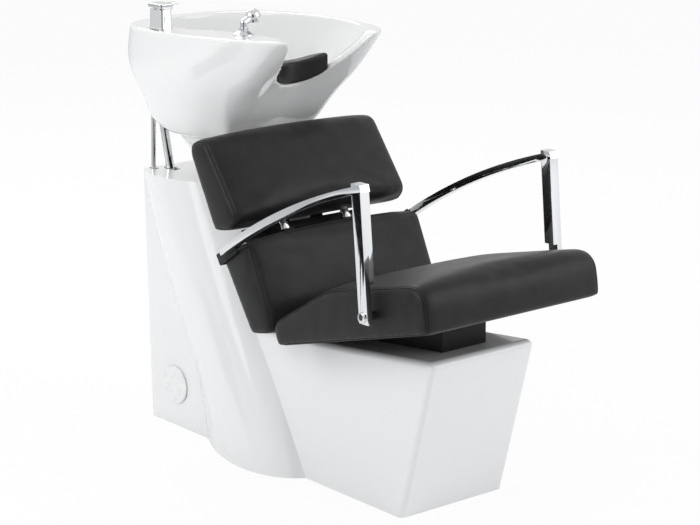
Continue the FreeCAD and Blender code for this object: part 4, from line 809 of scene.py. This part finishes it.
def thread_row(name, path, settings):
    """Row of stitches along a closed path, made by the stitching nodes."""
    count = len(path)
    mesh = bpy.data.meshes.new(name)
    mesh.from_pydata([tuple(p) for p in path], [(k, (k + 1) % count) for k in range(count)], [])
    row = placed(name, mesh)
    modifier = row.modifiers.new("stitching", "NODES")
    modifier.node_group = stitching_nodes()
    wanted = {"Pitch": settings.stitch_pitch, "Length": settings.stitch_length,
              "Radius": settings.stitch_radius}
    for item in modifier.node_group.interface.items_tree:
        if item.name in wanted:
            modifier[item.identifier] = wanted[item.name]
    mesh = applied(row)
    bpy.data.objects.remove(row)
    return mesh


def stitching_nodes():
    """Geometry nodes that set short rods of thread along a path at an even pitch."""
    if "stitching" in bpy.data.node_groups:
        return bpy.data.node_groups["stitching"]
    group = bpy.data.node_groups.new("stitching", "GeometryNodeTree")
    group.interface.new_socket("Geometry", in_out="INPUT", socket_type="NodeSocketGeometry")
    for name in ("Pitch", "Length", "Radius"):
        group.interface.new_socket(name, in_out="INPUT", socket_type="NodeSocketFloat")
    group.interface.new_socket("Geometry", in_out="OUTPUT", socket_type="NodeSocketGeometry")
    given, path, spots, stitch, laid, real, dyed, result = (group.nodes.new(kind) for kind in (
        "NodeGroupInput", "GeometryNodeMeshToCurve", "GeometryNodeCurveToPoints", "GeometryNodeMeshCylinder",
        "GeometryNodeInstanceOnPoints", "GeometryNodeRealizeInstances", "GeometryNodeSetMaterial",
        "NodeGroupOutput"))
    spots.mode = "LENGTH"
    stitch.fill_type = "TRIANGLE_FAN"
    stitch.inputs["Vertices"].default_value = STITCH_SIDES
    dyed.inputs["Material"].default_value = FINISHES["thread"]
    for source, output, target, entry in (
            (given, "Geometry", path, "Mesh"), (path, "Curve", spots, "Curve"),
            (given, "Pitch", spots, "Length"), (given, "Length", stitch, "Depth"),
            (given, "Radius", stitch, "Radius"), (spots, "Points", laid, "Points"),
            (spots, "Rotation", laid, "Rotation"), (stitch, "Mesh", laid, "Instance"),
            (laid, "Instances", real, "Geometry"), (real, "Geometry", dyed, "Geometry"),
            (dyed, "Geometry", result, "Geometry")):
        group.links.new(source.outputs[output], target.inputs[entry])
    return group


def welt(pad, piece, side, settings):
    """Piping along a side seam, laid on the finished cover."""
    radius = settings.piping_radius
    ring = seam_ring(pad, side, settings.start_inset)
    laid = laid_on(cover_tree(piece), ring, 0.0, radius * PIPING_LIFT, settings.voxel)
    curve = bpy.data.curves.new(piece.name + "_piping", "CURVE")
    curve.dimensions = "3D"
    line = curve.splines.new("POLY")
    line.points.add(len(laid) - 1)
    for point, place in zip(line.points, laid):
        point.co = (*place, 1.0)
    line.use_cyclic_u = True
    curve.bevel_depth = radius
    curve.bevel_resolution = PIPING_STEPS
    rope = placed(curve.name, curve)
    graph = bpy.context.evaluated_depsgraph_get()
    mesh = bpy.data.meshes.new_from_object(rope.evaluated_get(graph), depsgraph=graph)
    bpy.data.objects.remove(rope)
    smooth(mesh)
    return mesh


# Pieces
class BACKWASH_OT_finishes(bpy.types.Operator):
    """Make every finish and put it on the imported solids"""
    bl_idname = "backwash.finishes"
    bl_label = "Finishes"

    def execute(self, context):
        FINISHES.update(make_finishes(context.scene.backwash_finish))
        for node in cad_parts.values():
            slot = node.data.materials[0].name.split(".")[0]
            if slot not in FINISHES:
                raise RuntimeError("no finish for " + slot)
            for place in node.material_slots:
                place.material = FINISHES[slot]
        return {"FINISHED"}


class BACKWASH_OT_pads(bpy.types.Operator):
    """Upholster the seat and the two back pads"""
    bl_idname = "backwash.pads"
    bl_label = "Pads"

    def execute(self, context):
        settings = context.scene.backwash_pads
        for pad in PADS:
            piece = upholster(pad, settings)
            finished(piece, "black_leatherette", node=PAD_NODES[pad.name])
            for side, label in zip(SIDES, ("right", "left")):
                piping = placed(f"{pad.name}_piping_{label}", welt(pad, piece, side, settings))
                finished(piping, "black_leatherette")
                path = laid_on(cover_tree(piece), seam_ring(pad, side, settings.start_inset),
                               -side * settings.stitch_inset, settings.stitch_radius * THREAD_LIFT,
                               settings.voxel)
                row = thread_row(pad.name + "_stitches", path, settings)
                finished(placed(f"{pad.name}_stitches_{label}", row), "black_leatherette", finish="thread")
        return {"FINISHED"}


class BACKWASH_OT_arms(bpy.types.Operator):
    """Round off the chrome arms and put a black hexagon on each front bolt's end, painted shade for its
    socket
    """
    bl_idname = "backwash.arms"
    bl_label = "Arms"

    def execute(self, context):
        settings = context.scene.backwash_cast
        for node, name in (("arm_right", "right_arm"), ("arm_left", "left_arm")):
            softened(node, name, settings.arm_rounding, "base", "arm_chrome", segments=4)
        # Black hexagons on the bolts' ends: painted shade for their sockets
        finished(placed("painted_socket_shades", painted_socket_shades(settings.socket_shade_radius)), "plug_plastic")
        return {"FINISHED"}


# Places on the basin where its walls flow together: centre, reach along X, Y and Z, and passes. The first is
# the front crease, and each side has a cheek and the tip of a horn.
BASIN_BLENDS = [((0.0, 0.135, 0.790), (0.150, 0.140, 0.105), 420)] + [
    ((side * x, y, z), reach, passes)
    for (x, y, z), reach, passes in (((0.150, 0.110, 0.830), (0.080, 0.090, 0.075), 300),
                                     ((0.125, -0.045, 0.990), (0.080, 0.075, 0.065), 60))
    for side in SIDES]


class BACKWASH_OT_basin(bpy.types.Operator):
    """Glaze the basin and mould the gel neck rest"""
    bl_idname = "backwash.basin"
    bl_label = "Basin"

    def execute(self, context):
        settings = context.scene.backwash_cast
        cast("basin", "glazed_basin", settings.glaze_voxel, settings.glaze_passes, "basin_unit",
             "basin_ceramic", blends=BASIN_BLENDS)
        cast("neck_rest", "gel_neck_rest", settings.gel_voxel, settings.gel_passes, "neck_cushion",
             "gel_black")
        return {"FINISHED"}


class BACKWASH_OT_fittings(bpy.types.Operator):
    """Round off the mixer's body and lever"""
    bl_idname = "backwash.fittings"
    bl_label = "Fittings"

    def execute(self, context):
        rounding = context.scene.backwash_cast.fitting_rounding
        softened("mixer_body", "tap_body", rounding, "basin_unit", "fitting_chrome")
        softened("mixer_lever", "tap_lever", rounding, "lever", "fitting_chrome")
        return {"FINISHED"}


class BACKWASH_OT_steel(bpy.types.Operator):
    """Break the edges of the steel frames and plates"""
    bl_idname = "backwash.steel"
    bl_label = "Steel"

    def execute(self, context):
        rounding = context.scene.backwash_cast.steel_rounding
        softened("seat_frame", "seat_plate", rounding, "base", "black_steel", segments=2)
        softened("back_frame", "back_straps", rounding, "base", "black_steel", segments=2)
        return {"FINISHED"}


class BACKWASH_OT_shell(bpy.types.Operator):
    """Round off the seams of the column's cover and its cap"""
    bl_idname = "backwash.shell"
    bl_label = "Shell"

    def execute(self, context):
        rounding = context.scene.backwash_cast.seam_rounding
        softened("rear_cover", "column_cover", rounding, "base", "white_shell", bend=SEAM_BEND)
        softened("access_cap", "cover_cap", rounding, "base", "white_cap", bend=SEAM_BEND)
        return {"FINISHED"}


# How far the black hexagon of painted socket shade goes into a bolt's end face, and how far it stands out of
# it
SOCKET_DEPTH, SOCKET_LIFT = 0.6 * MM, 0.12 * MM
SOCKET_SIDES = 6
# Depth of the rim by which a bolt's end face is found
BOLT_RIM = 0.5 * MM


def painted_socket_shades(radius):
    """Black hexagons on the ends of the arms' front bolts: painted shade in place of the shade inside their
    sockets.
    """
    low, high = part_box("arm_bolts")
    _, front_y, front_z = bolt_centre()
    count = SOCKET_SIDES
    points, faces = [], []
    for side, face_x in zip(SIDES, (low[0], high[0])):
        start = len(points)
        for shift in (-SOCKET_DEPTH, SOCKET_LIFT):
            for k in range(count):
                turn = math.tau / count * k
                points.append((face_x + side * shift, front_y + radius * math.cos(turn),
                               front_z + radius * math.sin(turn)))
        faces.append(tuple(range(start + count, start + 2 * count)))
        for k in range(count):
            here, ahead = start + k, start + (k + 1) % count
            faces.append((here, ahead, ahead + count, here + count))
    mesh = mesh_of("painted_socket_shades", points, faces)
    with edited(mesh) as shape:
        bmesh.ops.recalc_face_normals(shape, faces=shape.faces)
    return mesh


def bolt_centre():
    """Middle of the end face of the right arm's front bolt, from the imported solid."""
    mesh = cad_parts["arm_bolts"].data
    edge = min(v.co.x for v in mesh.vertices)
    rim = [v.co for v in mesh.vertices if v.co.x < edge + BOLT_RIM]
    low = [min(p[axis] for p in rim) for axis in range(3)]
    high = [max(p[axis] for p in rim) for axis in range(3)]
    return [(a + b) / 2.0 for a, b in zip(low, high)]


# Stage
# Name, place, side of the square and watts of each lamp
LAMPS = (("key", (-3.6, 0.5, 2.6), 2.4, 60.0), ("fill", (2.4, -3.6, 2.6), 3.8, 78.0),
         ("back", (0.8, 3.2, 3.4), 2.6, 58.0))
LAMP_AIM = Vector((0.0, 0.0, 0.5))
# Name, middle of the foot, width and height of each dark card
CARDS = (("card_by_camera", (-1.35, -1.55, 0.0), 0.8, 2.3),
         ("card_beside", (-1.23, 0.60, 0.08), 0.42, 0.32))
CARD_COLOUR = (0.012, 0.012, 0.013, 1.0)
FLOOR_COLOUR = (0.92, 0.92, 0.92, 1.0)
# Share of what the camera sees of the floor that is its own even glow
FLOOR_GLOW = 0.92
ROOM_COLOUR, MIRRORED_COLOUR = (0.96, 0.98, 1.0, 1.0), (0.8, 0.8, 0.8, 1.0)
BACKDROP_COLOUR = (1.0, 1.0, 1.0, 1.0)
# Width of the camera's sensor, in millimetres, and the farthest that it sees, in metres
SENSOR_WIDTH, FAR_CLIP = 36.0, 200.0


class BACKWASH_OT_stage(bpy.types.Operator):
    """Lay the pale floor, hang the soft lamps and set up the camera"""
    bl_idname = "backwash.stage"
    bl_label = "Stage"

    def execute(self, context):
        stage = context.scene.backwash_stage
        context.scene.view_settings.view_transform = "Standard"
        lay_floor(stage)
        light_room(stage)
        hang_lamps()
        stand_cards()
        set_camera(stage)
        return {"FINISHED"}


def cleared(holder):
    """Nodes and links of a material or world, emptied first."""
    holder.use_nodes = True
    tree = holder.node_tree
    tree.nodes.clear()
    return tree.nodes, tree.links


def lay_floor(stage):
    """Pale matt floor that glows evenly to the camera, with a faint shadow left on it."""
    half = stage.floor_size / 2.0
    mesh = mesh_of("floor", [(-half, -half, 0), (half, -half, 0), (half, half, 0), (-half, half, 0)],
                   [(0, 1, 2, 3)])
    material = bpy.data.materials.new("pale_floor")
    nodes, links = cleared(material)
    matt, glow = nodes.new("ShaderNodeBsdfDiffuse"), nodes.new("ShaderNodeEmission")
    matt.inputs["Color"].default_value = FLOOR_COLOUR
    glow.inputs["Strength"].default_value = 1.0
    path, share = nodes.new("ShaderNodeLightPath"), nodes.new("ShaderNodeMath")
    share.operation = "MULTIPLY"
    share.inputs[1].default_value = FLOOR_GLOW
    links.new(path.outputs["Is Camera Ray"], share.inputs[0])
    mix, out = nodes.new("ShaderNodeMixShader"), nodes.new("ShaderNodeOutputMaterial")
    for entry, source in enumerate((share, matt, glow)):
        links.new(source.outputs[0], mix.inputs[entry])
    links.new(mix.outputs[0], out.inputs["Surface"])
    mesh.materials.append(material)
    placed("floor", mesh)


def light_room(stage):
    """Even light for matt finishes, a paler room in reflections, and pure white past the floor."""
    world = bpy.data.worlds.new("room")
    bpy.context.scene.world = world
    nodes, links = cleared(world)
    even, mirrored, backdrop = (nodes.new("ShaderNodeBackground") for _ in range(3))
    even.inputs["Color"].default_value = ROOM_COLOUR
    even.inputs["Strength"].default_value = stage.ambient
    mirrored.inputs["Color"].default_value = MIRRORED_COLOUR
    backdrop.inputs["Color"].default_value = BACKDROP_COLOUR
    path, out = nodes.new("ShaderNodeLightPath"), nodes.new("ShaderNodeOutputWorld")
    last = even
    for ray, source in (("Is Glossy Ray", mirrored), ("Is Camera Ray", backdrop)):
        mix = nodes.new("ShaderNodeMixShader")
        links.new(path.outputs[ray], mix.inputs[0])
        links.new(last.outputs[0], mix.inputs[1])
        links.new(source.outputs[0], mix.inputs[2])
        last = mix
    links.new(last.outputs[0], out.inputs["Surface"])


def hang_lamps():
    """Three large soft lamps: on the sitter's right, in front, and behind."""
    for name, place, size, power in LAMPS:
        lamp = bpy.data.lights.new(name, "AREA")
        lamp.shape = "SQUARE"
        lamp.size = size
        lamp.energy = power
        holder = placed(name, lamp)
        holder.location = place
        holder.rotation_euler = (LAMP_AIM - Vector(place)).to_track_quat("-Z", "Y").to_euler()


def stand_cards():
    """Dark cards that only the gloss sees, for the dark lines in the chrome."""
    material = bpy.data.materials.new("dark_card")
    nodes, links = cleared(material)
    glow, out = nodes.new("ShaderNodeEmission"), nodes.new("ShaderNodeOutputMaterial")
    glow.inputs["Color"].default_value = CARD_COLOUR
    links.new(glow.outputs[0], out.inputs["Surface"])
    for name, place, width, height in CARDS:
        foot, rise = Vector(place), Vector((0.0, 0.0, height))
        side = Vector((-foot.y, foot.x, 0.0)).normalized() * (width / 2.0)
        mesh = mesh_of(name, (foot - side, foot + side, foot + side + rise, foot - side + rise),
                       [(0, 1, 2, 3)])
        mesh.materials.append(material)
        card = placed(name, mesh)
        card.visible_camera = card.visible_shadow = False
        card.visible_diffuse = card.visible_transmission = False


def set_camera(stage):
    """Camera at the photograph's viewing angle."""
    data = bpy.data.cameras.new("camera")
    data.sensor_width = SENSOR_WIDTH
    data.lens = stage.lens
    data.clip_end = FAR_CLIP
    camera = placed("camera", data)
    turn, lift = -stage.azimuth, stage.elevation
    look = Vector((math.sin(turn) * math.cos(lift), math.cos(turn) * math.cos(lift), -math.sin(lift)))
    camera.location = stage.eye
    camera.rotation_mode = "QUATERNION"
    camera.rotation_quaternion = look.to_track_quat("-Z", "Y")
    bpy.context.scene.camera = camera


# Panel and registration
class BACKWASH_PT_panel(bpy.types.Panel):
    """Sidebar panel with the unit's pieces and settings"""
    bl_idname = "BACKWASH_PT_panel"
    bl_label = "Backwash unit"
    bl_space_type = "VIEW_3D"
    bl_region_type = "UI"
    bl_category = "Backwash"

    def draw(self, context):
        for operator in OPERATORS:
            self.layout.operator(operator.bl_idname)
        for settings in (getattr(context.scene, name) for name in SETTINGS):
            box = self.layout.box()
            for key in settings.bl_rna.properties.keys():
                if key not in ("rna_type", "name"):
                    box.prop(settings, key)


SETTINGS = {"backwash_stage": StageSettings, "backwash_finish": FinishSettings,
            "backwash_pads": PadSettings, "backwash_cast": CastSettings}
OPERATORS = (BACKWASH_OT_stage, BACKWASH_OT_finishes, BACKWASH_OT_pads, BACKWASH_OT_basin,
             BACKWASH_OT_arms, BACKWASH_OT_fittings, BACKWASH_OT_steel, BACKWASH_OT_shell)


def register():
    for kind in (*SETTINGS.values(), *OPERATORS, BACKWASH_PT_panel):
        bpy.utils.register_class(kind)
    for name, kind in SETTINGS.items():
        setattr(bpy.types.Scene, name, bpy.props.PointerProperty(type=kind))


def unregister():
    for name in SETTINGS:
        delattr(bpy.types.Scene, name)
    for kind in (BACKWASH_PT_panel, *reversed(OPERATORS), *reversed(SETTINGS.values())):
        bpy.utils.unregister_class(kind)


def main():
    register()
    bpy.ops.backwash.stage()
    bpy.ops.backwash.finishes()
    bpy.ops.backwash.pads()
    bpy.ops.backwash.basin()
    bpy.ops.backwash.arms()
    bpy.ops.backwash.fittings()
    bpy.ops.backwash.steel()
    bpy.ops.backwash.shell()


if __name__ == "__main__":
    main()
